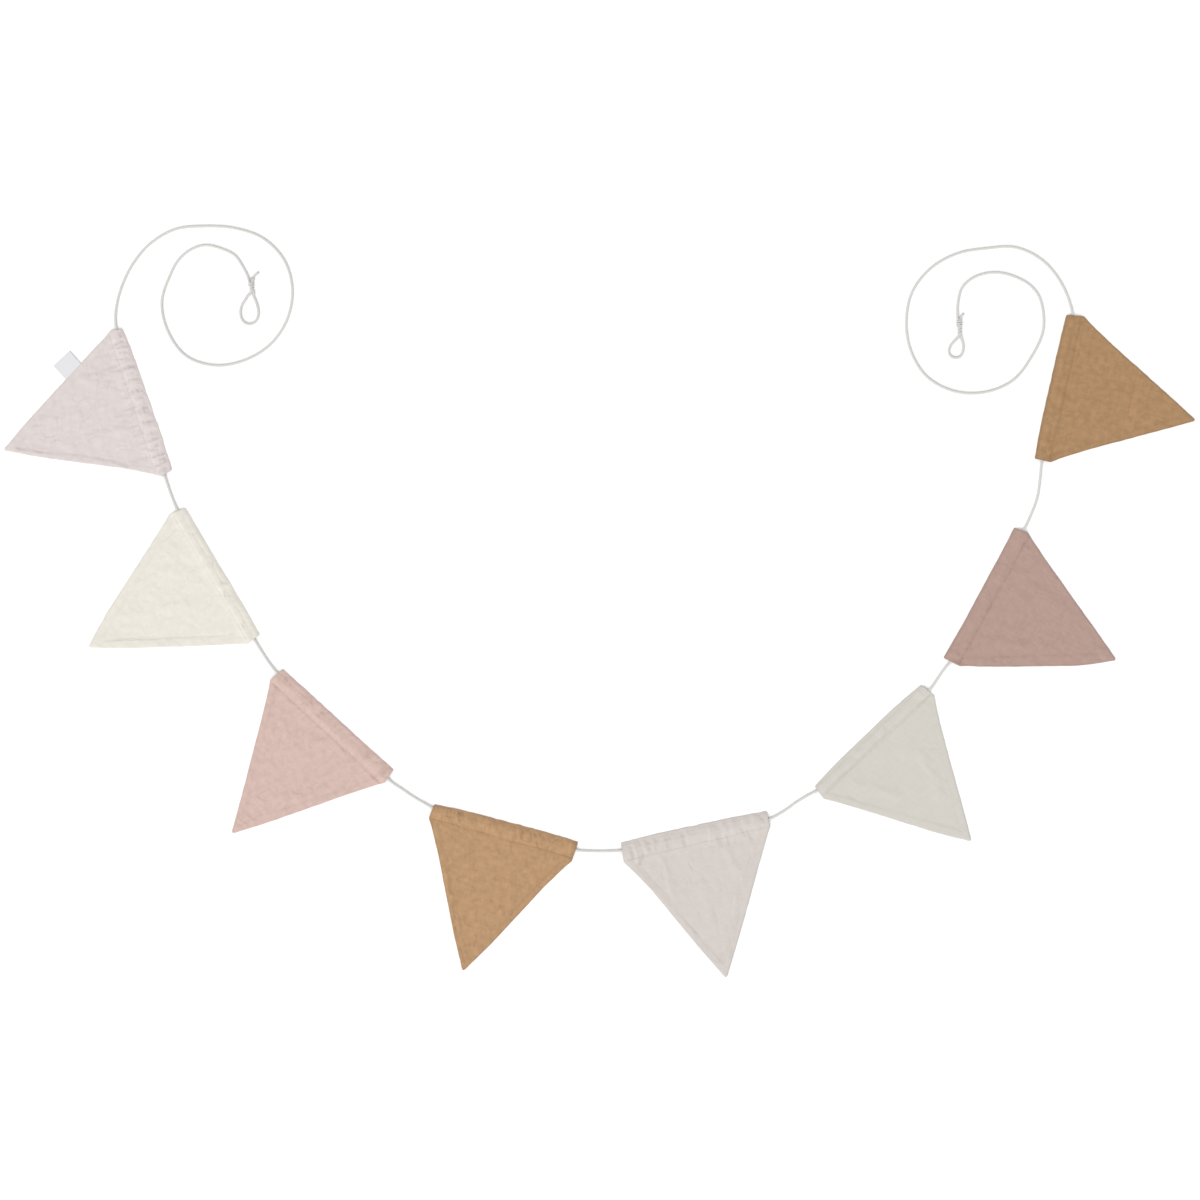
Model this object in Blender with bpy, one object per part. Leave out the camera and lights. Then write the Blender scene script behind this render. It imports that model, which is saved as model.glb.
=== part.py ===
"""A bunting of eight turned-linen pennants threaded on one cord.

It lies flat in a wide U, with its free cord ends in open spirals that finish in
tied hanging loops. X runs along the garland, +Y points up the page, +Z is up off
the surface. The origin is under the middle of the pennants' box.
All tables and named sizes are in millimetres. MM turns them into metres.
"""
import math

import bmesh
import bpy
import numpy as np
from mathutils import Matrix, Vector

MM = 0.001

# Cloth
LAYER = 0.75            # one layer of linen, pressed
CLOTH = 2 * LAYER       # front and back together
EDGE = 1.0              # height of the folded edge at the outline
EDGE_INSET = 1.2        # where the cloth reaches its full height, in from the outline
ALLOWANCE = 7.0         # seam allowance turned inside both side seams
ALLOWANCE_RISE = 0.6    # what the turned allowance adds to the height
ALLOWANCE_FOOT = ALLOWANCE + 1.5    # how far in from the seam that height has run out
ALLOWANCE_RAMP = 2.0    # the width over which it runs out
TIP_HALF = 1.3          # half width of the blunt tip
TIP_RISE = 0.7          # extra height where the allowances bunch at the tip
TIP_START = 0.82        # where that bunching starts, from the shoulders (0) to the tip (1)
TIP_RAMP = 0.15         # the share of the same way over which it comes up
STITCH_DIP = 0.35       # how far the channel's stitch line pulls the cloth down
STITCH_REACH = 1.2      # how far to each side of the line that is felt
SWELL_RAMP = 3.0        # the width over which a gathered channel's swell runs out
PUCKER_RAMP = 0.4       # the share of a pucker's depth over which it runs out
FOLD_PRESS = 0.45       # how much of the height over the edge is left at the folded base
MOUTH_DIP = 0.15        # how much lower the cloth is at the channel's mouths

# Cord
CORD_R = 1.2            # half of the cord's diameter
CORD_GAP = 0.35         # clearance between the cord and the channel
CHANNEL_R = CORD_R + CORD_GAP
CHANNEL_Z = LAYER + CHANNEL_R   # height of the cord's middle inside a channel
CHANNEL_STATIONS = (0.03, 0.35, 0.65, 0.97)     # its route's points there, along the base
INSIDE = 0.85           # a route point at this height or more is inside a channel
HUMP_REACH = 3.2        # how far from the cord the cloth over it falls away
FLOOR_GAP = 0.05        # gap between what is round and the surface that it lies on
REST_Z = CORD_R + FLOOR_GAP     # height of the cord's middle where it lies on the surface
FACE_GAP = 0.3          # gap where two cord pieces meet face to face

# Each pennant. fold_x, fold_y: where its folded base starts. heading: the direction
# in which the base runs, in degrees. fold: the base's length. flare and depth: how
# far the shoulder stands out past the base's end, and its distance from the base.
# tip_along, tip_drop: the tip, along the base and away from it.
PENNANT_COLUMNS = ("fold_x", "fold_y", "heading", "fold", "start_flare", "start_depth",
                   "end_flare", "end_depth", "tip_along", "tip_drop")
PENNANTS = {
    "pennant_1": (-476.4, 317.4, -71.0, 149.3, 2.1, 13.2, 2.7, 11.5, 75.6, 151.6),
    "pennant_2": (-415.1, 138.1, -59.5, 147.1, 2.1, 16.8, 1.4, 15.1, 71.0, 152.7),
    "pennant_3": (-316.8, -22.8, -42.2, 149.6, 2.0, 16.5, 2.0, 15.9, 72.5, 155.1),
    "pennant_4": (-165.3, -157.8, -15.0, 148.7, 1.7, 14.6, -1.1, 19.1, 70.8, 152.9),
    "pennant_5": (21.4, -197.9, 12.6, 149.1, 1.2, 18.4, 0.1, 15.4, 73.5, 152.6),
    "pennant_6": (215.8, -140.8, 43.7, 146.7, 2.0, 14.3, 2.5, 15.9, 75.2, 145.9),
    "pennant_7": (344.9, -12.1, 61.4, 148.1, -0.5, 16.9, 2.5, 13.1, 80.6, 150.6),
    "pennant_8": (436.4, 187.5, 77.5, 146.6, -0.5, 14.7, 2.3, 15.6, 72.0, 146.6),
}

# How far each edge bows outwards from straight, a quarter and three quarters of
# the way along it. The sides run from the shoulder to the tip.
BOW_COLUMNS = ("fold", "start_side", "end_side")
BOWS = {
    "pennant_1": ((1.4, 1.6), (0.3, 1.0), (-2.0, 0.5)),
    "pennant_2": ((1.0, 1.6), (0.1, 1.7), (0.5, 1.2)),
    "pennant_3": ((0.3, -0.2), (-0.8, -0.6), (-0.5, 0.8)),
    "pennant_4": ((1.8, 2.0), (-1.0, 0.7), (-1.3, 0.9)),
    "pennant_5": ((2.6, 1.9), (-2.5, 0.0), (0.5, 1.0)),
    "pennant_6": ((2.8, 2.9), (-0.4, 1.1), (-0.8, 0.4)),
    "pennant_7": ((0.8, 1.1), (2.2, 4.0), (-0.6, 0.2)),
    "pennant_8": ((2.7, 2.2), (-1.5, -0.4), (-0.8, 0.2)),
}
BOW_STOPS = (0.0, 0.1, 0.25, 0.75, 0.9, 1.0)
BOW_EASE = 0.6          # how much of a bow there is at a tenth of the way from an end

# Distance from the folded base of the cord and of the channel's stitch line, at
# the start and at the end of the base. swell: what the gathered channel adds.
CHANNEL_COLUMNS = ("cord_start", "cord_end", "stitch_start", "stitch_end", "swell")
CHANNELS = {
    "pennant_1": (7.6, 9.0, 15.0, 16.5, 0.3),
    "pennant_2": (7.4, 6.9, 13.5, 13.0, 0.0),
    "pennant_3": (7.0, 9.8, 18.0, 19.0, 0.4),
    "pennant_4": (5.0, 7.6, 15.5, 17.0, 0.4),
    "pennant_5": (6.7, 8.0, 17.0, 15.0, 0.3),
    "pennant_6": (5.2, 8.4, 11.5, 13.0, 0.0),
    "pennant_7": (7.3, 7.6, 15.5, 15.5, 0.1),
    "pennant_8": (5.3, 5.2, 13.5, 14.0, 0.2),
}

# Puckers gathered across the channel. along: their place on the base. half: half
# their width. deep: how far from the base they run out. slant: how far they lean
# towards the end of the base by there. rise: their height, or depth where negative.
PUCKER_COLUMNS = ("along", "half", "deep", "slant", "rise")
PUCKERS = {
    "pennant_1": ((9, 3.5, 24, 0, 0.5), (20, 3.5, 19, -2, 0.5), (33, 4.5, 21, -1, 0.4),
                  (44, 4.0, 28, 4, 0.5), (58, 5.0, 17, 0, 0.4), (72, 4.5, 17, -1, 0.5),
                  (91, 5.0, 18, -2, 0.4), (103, 5.0, 16, 2, 0.5), (115, 3.0, 20, 2, 0.6),
                  (123, 3.5, 26, 3, 0.4), (133, 3.0, 22, 1, 0.5), (142, 3.0, 20, 2, 0.4)),
    "pennant_2": ((12, 4.0, 16, 0, 0.3), (49, 6.0, 14, 1, 0.2), (88, 4.0, 15, -3, 0.5),
                  (127, 7.0, 14, 0, 0.3)),
    "pennant_3": ((20, 7.0, 14, 0, 0.3), (52, 5.0, 13, 2, 0.3), (84, 5.0, 14, -3, 0.4),
                  (103, 5.0, 13, 1, 0.3), (128, 6.0, 14, 0, 0.3)),
    "pennant_4": ((11, 3.0, 16, 0, 0.4), (23, 3.0, 9, 2, 0.6), (32, 3.0, 24, 2, 0.4),
                  (53, 7.0, 14, 0, 0.3), (87, 3.5, 15, 4, 0.6), (97, 2.5, 12, 1, 0.4),
                  (106, 3.0, 17, 5, 0.7), (130, 7.0, 15, 0, 0.3)),
    "pennant_5": ((12, 2.5, 24, 1, 0.6), (21, 2.5, 17, 2, 0.6), (31, 3.0, 16, 1, 0.3),
                  (41, 3.0, 14, 0, 0.3), (65, 4.0, 15, 2, 0.3), (89, 4.0, 20, -1, 0.3),
                  (102, 3.0, 26, 2, 0.5), (112, 3.0, 24, 1, 0.4), (124, 3.5, 20, 2, 0.4),
                  (134, 3.5, 24, 2, 0.5)),
    "pennant_6": ((25, 8.0, 11, 0, 0.2), (52, 6.0, 11, 0, 0.2), (82, 5.0, 12, 0, 0.3),
                  (112, 7.0, 12, 0, 0.2), (138, 4.0, 15, 0, 0.3)),
    "pennant_7": ((8, 3.5, 17, 0, 0.4), (45, 8.0, 15, 0, 0.2), (95, 8.0, 15, 0, 0.2),
                  (137, 4.0, 18, -2, 0.4)),
    "pennant_8": ((8, 3.5, 16, 2, 0.4), (33, 6.0, 12, 4, 0.3), (66, 7.0, 12, 0, 0.3),
                  (98, 6.0, 12, 0, 0.3), (139, 3.5, 18, -2, 0.4)),
}

# Soft creases in the field, each a straight ridge from one place to another, given
# along the base and away from it. half: half its width. rise: height or depth.
CREASE_COLUMNS = ("along_1", "drop_1", "along_2", "drop_2", "half", "rise")
CREASES = {
    "pennant_1": ((36, 52, 56, 18, 9, 0.9), (128, 20, 118, 58, 6, -0.4),
                  (60, 112, 66, 70, 8, 0.5), (98, 30, 92, 70, 9, 0.6)),
    "pennant_2": ((30, 30, 52, 62, 9, 0.6), (74, 70, 96, 34, 9, 0.6), (70, 128, 82, 104, 6, -0.3)),
    "pennant_3": ((34, 40, 78, 52, 9, 0.5), (60, 128, 84, 134, 5, 0.5), (90, 96, 112, 60, 8, 0.6)),
    "pennant_4": ((22, 48, 34, 74, 4, 0.7), (46, 96, 56, 112, 4, 0.8), (70, 70, 104, 52, 10, 0.5)),
    "pennant_5": ((37, 28, 40, 72, 5, 0.8), (70, 60, 72, 100, 10, 0.5), (100, 24, 108, 52, 7, 0.5)),
    "pennant_6": ((30, 26, 52, 60, 9, 0.5), (84, 92, 100, 50, 9, 0.6)),
    "pennant_7": ((40, 40, 64, 96, 10, 0.5), (82, 132, 74, 142, 5, 0.6), (104, 46, 96, 88, 9, 0.6)),
    "pennant_8": ((48, 84, 100, 86, 5, 0.5), (50, 94, 96, 94, 4, 0.4), (52, 34, 76, 60, 9, 0.6)),
}

# The cord's own route, as far as it lies free: places on the surface as X, Y and a
# height, from the left knot outwards to the first pennant, between the pennants, and
# from the last pennant inwards to the right knot. Height 1 is inside a channel, and
# 0 is lying down.
LEFT_TAIL = (
    (-351.6, 369.2, 0.3), (-355.3, 377.0, 0), (-364.5, 390.6, 0), (-377.8, 397.4, 0),
    (-394.5, 401.0, 0), (-409.4, 396.2, 0), (-420.8, 386.4, 0), (-428.6, 372.9, 0),
    (-437.8, 344.0, 0), (-431.5, 314.5, 0), (-413.3, 290.1, 0), (-384.6, 280.8, 0),
    (-354.8, 286.0, 0), (-329.0, 302.0, 0), (-312.3, 327.2, 0), (-307.3, 357.0, 0),
    (-315.5, 386.1, 0), (-336.5, 407.8, 0), (-364.8, 417.9, 0), (-394.8, 420.0, 0),
    (-424.9, 416.6, 0), (-450.9, 401.1, 0), (-469.5, 377.6, 0), (-481.0, 349.7, 0),
    (-484.2, 328.0, 0.6))
GAPS = (
    ((-434.4, 169.0, 0.9), (-428.9, 152.8, 0.2), (-423.4, 139.0, 0.9)),
    ((-344.4, 5.3, 0.9), (-335.5, -8.8, 0.3), (-327.3, -20.6, 0.9)),
    ((-209.0, -134.9, 0.9), (-196.9, -143.2, 0.1), (-183.6, -152.0, 0.1), (-170.7, -159.4, 0.9)),
    ((-20.5, -204.1, 0.9), (-5.1, -204.8, 0.2), (2.9, -204.8, 0.2), (18.9, -204.4, 0.9)),
    ((170.2, -172.4, 0.9), (183.9, -164.9, 0.1), (197.0, -155.6, 0.1), (210.6, -147.6, 0.9)),
    ((331.2, -42.0, 0.9), (338.4, -31.4, 0.4), (344.3, -23.0, 0.9)),
    ((425.6, 119.4, 0.9), (431.6, 132.5, 0), (437.1, 147.5, 0), (439.8, 163.4, 0),
     (441.3, 180.0, 0.9)),
)
RIGHT_TAIL = (
    (472.3, 334.6, 0.8), (462.6, 361.2, 0), (443.9, 384.8, 0), (416.9, 398.5, 0),
    (386.5, 397.8, 0), (357.0, 392.4, 0), (330.6, 377.5, 0), (312.2, 353.5, 0),
    (306.5, 323.6, 0), (311.6, 293.9, 0), (328.0, 268.7, 0), (355.0, 254.9, 0),
    (385.1, 254.0, 0), (413.0, 265.8, 0), (431.9, 289.7, 0), (443.6, 317.4, 0),
    (440.3, 347.4, 0), (431.0, 360.4, 0), (418.0, 368.2, 0), (403.0, 373.0, 0),
    (388.0, 373.2, 0), (372.6, 368.0, 0), (361.9, 357.6, 0), (358.0, 341.6, 0.1),
    (357.7, 333.0, 0.4))

# The hanging loops, from one side of the knot round to the other.
LOOPS = {
    "loop_left": (
        (-351.7, 350.6, 0.3), (-354.6, 345.9, 0), (-358.1, 339.9, 0),
        (-359.1, 332.9, 0), (-357.6, 326.9, 0), (-354.6, 323.4, 0), (-350.1, 322.2, 0),
        (-345.3, 323.7, 0), (-342.1, 327.9, 0), (-341.1, 333.9, 0), (-342.1, 339.9, 0),
        (-344.1, 345.9, 0), (-345.9, 350.4, 0.3)),
    "loop_right": (
        (356.8, 307.4, 0.3), (352.9, 303.2, 0), (350.0, 298.9, 0),
        (349.2, 293.9, 0), (351.2, 289.9, 0), (355.6, 288.4, 0), (360.2, 289.7, 0),
        (362.9, 293.9, 0), (363.7, 298.9, 0), (363.0, 303.9, 0), (362.0, 307.0, 0.3)),
}

# The short cut ends, from the knot outwards.
CUT_ENDS = {
    "cut_end_left": ((-346.6, 367.8, 0.4), (-344.6, 370.8, 0.1), (-341.3, 373.4, 0)),
    "cut_end_right": ((361.6, 329.8, 0.3), (363.4, 332.2, 0)),
}

# The knots: the middle of their upper face, the direction in which they run down
# towards the loop, and their wraps as half widths at distances along them.
KNOT_COLUMNS = ("x", "y", "heading")
KNOTS = {
    "knot_left": (-348.9, 363.9, -81.0),
    "knot_right": (359.3, 326.9, -87.5),
}
KNOT_PROFILE_COLUMNS = ("along", "half")
KNOT_PROFILES = {
    "knot_left": ((0.0, 2.3), (0.8, 2.6), (2.2, 2.75), (3.2, 2.35), (4.3, 2.8), (5.6, 2.8),
                  (6.5, 2.4), (7.6, 2.7), (8.5, 2.6), (9.2, 2.3)),
    "knot_right": ((0.0, 2.2), (0.8, 2.6), (2.4, 2.8), (3.5, 2.4), (4.8, 2.9), (6.8, 2.9),
                   (8.0, 2.2), (9.4, 1.9), (10.8, 2.2), (12.2, 1.9), (13.6, 2.2), (15.4, 2.1),
                   (16.0, 1.9)),
}
KNOT_FLATNESS = 0.86    # the knots' height over their width
KNOT_SIDES = 10
STRAND_APART = 1.4      # how far each of a knot's two strands lies from its middle
STRAND_LEAD = 1.2       # how far a strand runs straight out of the knot
STRAND_HEIGHT = 0.75    # its height there, on the route's own scale

# The folded tab in the first side seam: its two corners at the seam as fractions
# of the side, and its two corners at its outer fold, along and away from the base.
LABEL_SEAM = (0.275, 0.412)
LABEL_FOLD = ((4.3, 57.3), (11.2, 76.8))
LABEL_GAP = 0.35
# Its section, from the seam (0) to the outer fold (1), and the height there.
LABEL_SECTION_COLUMNS = ("out", "height")
LABEL_SECTION = ((0.0, 0.2), (0.5, 0.2), (0.95, 0.3), (1.0, 0.65), (1.0, 1.05), (0.95, 1.4),
                 (0.5, 1.75), (0.0, 1.5), (0.0, 1.0), (0.5, 1.2), (0.93, 1.0), (0.93, 0.7),
                 (0.5, 0.7), (0.0, 0.7))

# How finely the shapes are made
CASING_ROWS = (0.0, 0.09, 0.26, 0.42, 0.56, 0.7, 0.86, 1.0)   # fold to shoulder
FIELD_ROWS = 12         # shoulder to tip
FIELD_SPREAD = 0.93     # under 1, the field's rows stand wider apart near the shoulder
FIELD_SPANS = 8         # across the field between the seam allowances
NARROW = 4 * ALLOWANCE  # rows shorter than this draw their outer columns together
WIDEST_COLUMN = 11.0    # widest gap left between the channel's columns
FILL_COLUMN = 8.8       # spacing of the columns that fill a wider one
CLOSEST_COLUMN = 1.0    # columns closer than this are made one
MOUTH_MARGIN = 3.0      # how far a pucker's foot stays from the channel's mouths
TAIL_STEPS = 3          # points read from the smooth route for each leg of a tail
LOOP_STEPS = 2          # and of a loop, a cut end, or the cord between two pennants
TUBE_RESOLUTION = 2     # gives the cord eight sides

# Colours, as the eye reads them, with a roughness
FINISHES = {
    "linen_greige": ((227, 217, 213), 0.92),
    "linen_cream": ((239, 235, 225), 0.92),
    "linen_blush": ((221, 194, 184), 0.92),
    "linen_camel": ((194, 157, 119), 0.92),
    "linen_lilac_grey": ((220, 212, 207), 0.92),
    "linen_sage_grey": ((218, 215, 207), 0.92),
    "linen_dusty_rose": ((189, 160, 149), 0.92),
    "linen_dark_camel": ((181, 144, 108), 0.92),
    "cord_cotton": ((226, 220, 210), 0.85),
    "label_tape": ((244, 243, 240), 0.7),
}
PENNANT_FINISH = dict(zip(PENNANTS, FINISHES))


def row_of(columns, values):
    """One row of a table, readable by its column names."""
    return dict(zip(columns, values))


def linear_from_srgb(value):
    """A display value from 0 to 255 as linear light from 0 to 1."""
    s = value / 255
    return s / 12.92 if s <= 0.04045 else ((s + 0.055) / 1.055) ** 2.4


def finish(name):
    """The named material, made once."""
    material = bpy.data.materials.get(name)
    if material is None:
        colour, roughness = FINISHES[name]
        material = bpy.data.materials.new(name)
        material.use_nodes = True
        shader = material.node_tree.nodes["Principled BSDF"]
        shader.inputs["Base Color"].default_value = [linear_from_srgb(c) for c in colour] + [1.0]
        shader.inputs["Roughness"].default_value = roughness
        shader.inputs["Metallic"].default_value = 0.0
    return material


def clear_scene():
    for thing in list(bpy.data.objects):
        bpy.data.objects.remove(thing, do_unlink=True)


def add_object(name, data, finish_name):
    """Put a mesh or curve in the scene under a name, with its material."""
    data.materials.append(finish(finish_name))
    thing = bpy.data.objects.new(name, data)
    bpy.context.scene.collection.objects.link(thing)
    return thing


def smoothstep(t):
    t = min(max(t, 0.0), 1.0)
    return t * t * (3 - 2 * t)


# Cord

def smooth_route(points, leg_steps):
    """A smooth line through the points of a route.

    In plan it is a centripetal Catmull-Rom curve. leg_steps says how many points
    are read from each leg. The height eases from one point of the route to the
    next, so it never dips below either.
    """
    plan = np.array([p[:2] for p in points], dtype=float)
    heights = [p[2] for p in points]
    before = 2 * plan[0] - plan[1]
    after = 2 * plan[-1] - plan[-2]
    knots = np.vstack([before, plan, after])
    line = []
    for leg, steps in enumerate(leg_steps):
        p0, p1, p2, p3 = knots[leg:leg + 4]
        t1 = math.dist(p0, p1) ** 0.5
        t2 = t1 + math.dist(p1, p2) ** 0.5
        t3 = t2 + math.dist(p2, p3) ** 0.5
        for step in range(steps):
            t = t1 + (t2 - t1) * step / steps
            a1 = p0 + (p1 - p0) * t / t1
            a2 = p1 + (p2 - p1) * (t - t1) / (t2 - t1)
            a3 = p2 + (p3 - p2) * (t - t2) / (t3 - t2)
            b1 = a1 + (a2 - a1) * t / t2
            b2 = a2 + (a3 - a2) * (t - t1) / (t3 - t1)
            c = b1 + (b2 - b1) * (t - t1) / (t2 - t1)
            rise = heights[leg] + (heights[leg + 1] - heights[leg]) * smoothstep(step / steps)
            line.append((c[0], c[1], cord_height(rise)))
    line.append((plan[-1][0], plan[-1][1], cord_height(heights[-1])))
    return line


def cord_height(rise):
    """Height of the cord's middle: 0 lies on the surface, 1 is inside a channel."""
    return REST_Z + (CHANNEL_Z - REST_Z) * rise


def tube(name, line, radius):
    """A round tube along a line of points in millimetres, with filled ends."""
    curve = bpy.data.curves.new(name, "CURVE")
    curve.dimensions = "3D"
    curve.bevel_depth = radius * MM
    curve.bevel_resolution = TUBE_RESOLUTION
    curve.use_fill_caps = True
    curve.twist_mode = "Z_UP"
    spline = curve.splines.new("POLY")
    spline.points.add(len(line) - 1)
    for point, place in zip(spline.points, line):
        point.co = (place[0] * MM, place[1] * MM, place[2] * MM, 1.0)
    return add_object(name, curve, "cord_cotton")


def drawn_back(line, gap):
    """The line with its first point moved along it by gap."""
    first, second = Vector(line[0]), Vector(line[1])
    moved = first + (second - first).normalized() * gap
    return [tuple(moved)] + list(line[1:])


def strand(knot, face, side):
    """The two places where a strand leaves a knot, nearest first.

    face is "upper" for the tail and the cut end, "lower" for the loop. side is -1
    for the strand on the tail's side of the knot and 1 for the other.
    """
    place = row_of(KNOT_COLUMNS, KNOTS[knot])
    turn = Matrix.Rotation(math.radians(place["heading"]), 2)
    length = KNOT_PROFILES[knot][-1][0]
    places = []
    for out in (FACE_GAP, FACE_GAP + STRAND_LEAD):
        along = -out if face == "upper" else length + out
        spot = turn @ Vector((along, side * STRAND_APART))
        places.append((place["x"] + spot.x, place["y"] + spot.y, STRAND_HEIGHT))
    return places


def pennant_place(name):
    """The pennant's frame: X along its base, -Y towards its tip, at its own heading."""
    row = row_of(PENNANT_COLUMNS, PENNANTS[name])
    turn = Matrix.Rotation(math.radians(row["heading"]), 4, "Z")
    return Matrix.Translation((row["fold_x"] * MM, row["fold_y"] * MM, 0)) @ turn


def channel_stations(name):
    """Places of the cord inside one channel, in the garland's frame, start to end."""
    row = row_of(PENNANT_COLUMNS, PENNANTS[name])
    stations = []
    for share in CHANNEL_STATIONS:
        along = row["fold"] * share
        local = Vector((along * MM, -cord_depth(name, share) * MM, 0))
        place = pennant_place(name) @ local
        stations.append((place.x / MM, place.y / MM, 1.0))
    return stations


def cord_depth(name, share):
    """Distance of the cord from the base, at a share of the base's length."""
    row = row_of(CHANNEL_COLUMNS, CHANNELS[name])
    return row["cord_start"] + (row["cord_end"] - row["cord_start"]) * share


def make_cords():
    """The cord's tubes, and the channel cutter that follows the same line."""
    middle = []
    for index, name in enumerate(PENNANTS):
        middle += channel_stations(name)
        if index < len(GAPS):
            middle += GAPS[index]
    left_tail = strand("knot_left", "upper", -1) + list(LEFT_TAIL)
    right_tail = list(RIGHT_TAIL) + strand("knot_right", "upper", -1)[::-1]
    route = left_tail + middle + right_tail
    # Inside a channel the cord is straight, so each leg there is one step.
    inner_steps = [1 if min(a[2], b[2]) > INSIDE else LOOP_STEPS
                   for a, b in zip(middle, middle[1:])]
    steps = [TAIL_STEPS] * len(left_tail) + inner_steps + [TAIL_STEPS] * len(right_tail)
    line = smooth_route(route, steps)
    # The tails run on into the outer channels, to the first and last inner station.
    left_join = len(left_tail) * TAIL_STEPS
    right_join = left_join + sum(inner_steps)
    left = line[:left_join + 1]
    inner = line[left_join:right_join + 1]
    right = line[right_join:]
    tube("tail_left", drawn_back(left[::-1], FACE_GAP), CORD_R)
    tube("cord_middle", inner, CORD_R)
    tube("tail_right", drawn_back(right, FACE_GAP), CORD_R)
    for end in ("left", "right"):
        knot = "knot_" + end
        loop = strand(knot, "lower", -1) + list(LOOPS["loop_" + end])
        loop += strand(knot, "lower", 1)[::-1]
        tube("loop_" + end, smooth_route(loop, [LOOP_STEPS] * (len(loop) - 1)), CORD_R)
        stub = strand(knot, "upper", 1) + list(CUT_ENDS["cut_end_" + end])
        tube("cut_end_" + end, smooth_route(stub, [LOOP_STEPS] * (len(stub) - 1)), CORD_R)
    return cutter(line[left_join - TAIL_STEPS:right_join + TAIL_STEPS + 1])


def cutter(line):
    """The channel's own round space, used only to cut the pennants."""
    guide = tube("channel_cutter", line, CHANNEL_R)
    mesh = bpy.data.meshes.new_from_object(guide)
    guide_data = guide.data
    bpy.data.objects.remove(guide)
    bpy.data.curves.remove(guide_data)
    thing = bpy.data.objects.new("channel_cutter", mesh)
    bpy.context.scene.collection.objects.link(thing)
    thing.hide_render = True
    thing.display_type = "WIRE"
    return thing


def make_knot(name):
    """A small knot as stacked oval rings, fuller at each wrap of the cord."""
    place = row_of(KNOT_COLUMNS, KNOTS[name])
    profile = [row_of(KNOT_PROFILE_COLUMNS, values) for values in KNOT_PROFILES[name]]
    middle = max(row["half"] for row in profile) * KNOT_FLATNESS + FLOOR_GAP
    verts = []
    for row in profile:
        for side in range(KNOT_SIDES):
            angle = math.tau * (side + 0.5) / KNOT_SIDES
            across = row["half"] * math.cos(angle)
            up = row["half"] * KNOT_FLATNESS * math.sin(angle)
            verts.append((row["along"] * MM, across * MM, (middle + up) * MM))
    faces = []
    for ring in range(len(profile) - 1):
        for side in range(KNOT_SIDES):
            a = ring * KNOT_SIDES + side
            b = ring * KNOT_SIDES + (side + 1) % KNOT_SIDES
            faces.append((a, a + KNOT_SIDES, b + KNOT_SIDES, b))
    faces.append(tuple(range(KNOT_SIDES)))
    last = (len(profile) - 1) * KNOT_SIDES
    faces.append(tuple(last + side for side in reversed(range(KNOT_SIDES))))
    thing = add_object(name, mesh_from(name, verts, faces), "cord_cotton")
    thing.location = (place["x"] * MM, place["y"] * MM, 0)
    thing.rotation_euler = (0, 0, math.radians(place["heading"]))
    thing.data.shade_smooth()
    return thing


# Pennants

def mesh_from(name, verts, faces):
    """A mesh whose faces all point outwards."""
    mesh = bpy.data.meshes.new(name)
    mesh.from_pydata(verts, [], faces)
    build = bmesh.new()
    build.from_mesh(mesh)
    bmesh.ops.triangulate(build, faces=[f for f in build.faces if len(f.verts) > 4])
    bmesh.ops.recalc_face_normals(build, faces=build.faces)
    build.to_mesh(mesh)
    build.free()
    mesh.validate()
    return mesh


def bow(pair, t):
    """How far an edge stands out at t from 0 to 1, through its two given values."""
    values = (0.0, BOW_EASE * pair[0], pair[0], pair[1], BOW_EASE * pair[1], 0.0)
    return float(np.interp(t, BOW_STOPS, values))


class Outline:
    """The edges of one pennant, in its own frame: along the base, and down from it."""

    def __init__(self, name):
        self.row = row_of(PENNANT_COLUMNS, PENNANTS[name])
        self.bows = row_of(BOW_COLUMNS, BOWS[name])
        row = self.row
        self.tip = Vector((row["tip_along"], row["tip_drop"]))
        self.start_shoulder = Vector((-row["start_flare"], row["start_depth"]))
        self.end_shoulder = Vector((row["fold"] + row["end_flare"], row["end_depth"]))

    def base(self, share):
        """A place on the folded base."""
        return Vector((self.row["fold"] * share, -bow(self.bows["fold"], share)))

    def mouth(self, side, t):
        """A place on the channel's mouth, from the base (0) to the shoulder (1)."""
        if side == "start":
            return self.base(0).lerp(self.start_shoulder, t)
        return self.base(1).lerp(self.end_shoulder, t)

    def side(self, side, t):
        """A place on a side seam, from the shoulder (0) to the tip (1)."""
        shoulder = self.start_shoulder if side == "start" else self.end_shoulder
        run = self.tip - shoulder
        out = Vector((-run.y, run.x)).normalized()
        if side == "end":
            out = -out
        lean = -TIP_HALF if side == "start" else TIP_HALF
        place = shoulder.lerp(self.tip + Vector((lean, 0)), t)
        return place + out * bow(self.bows[side + "_side"], t)


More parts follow.
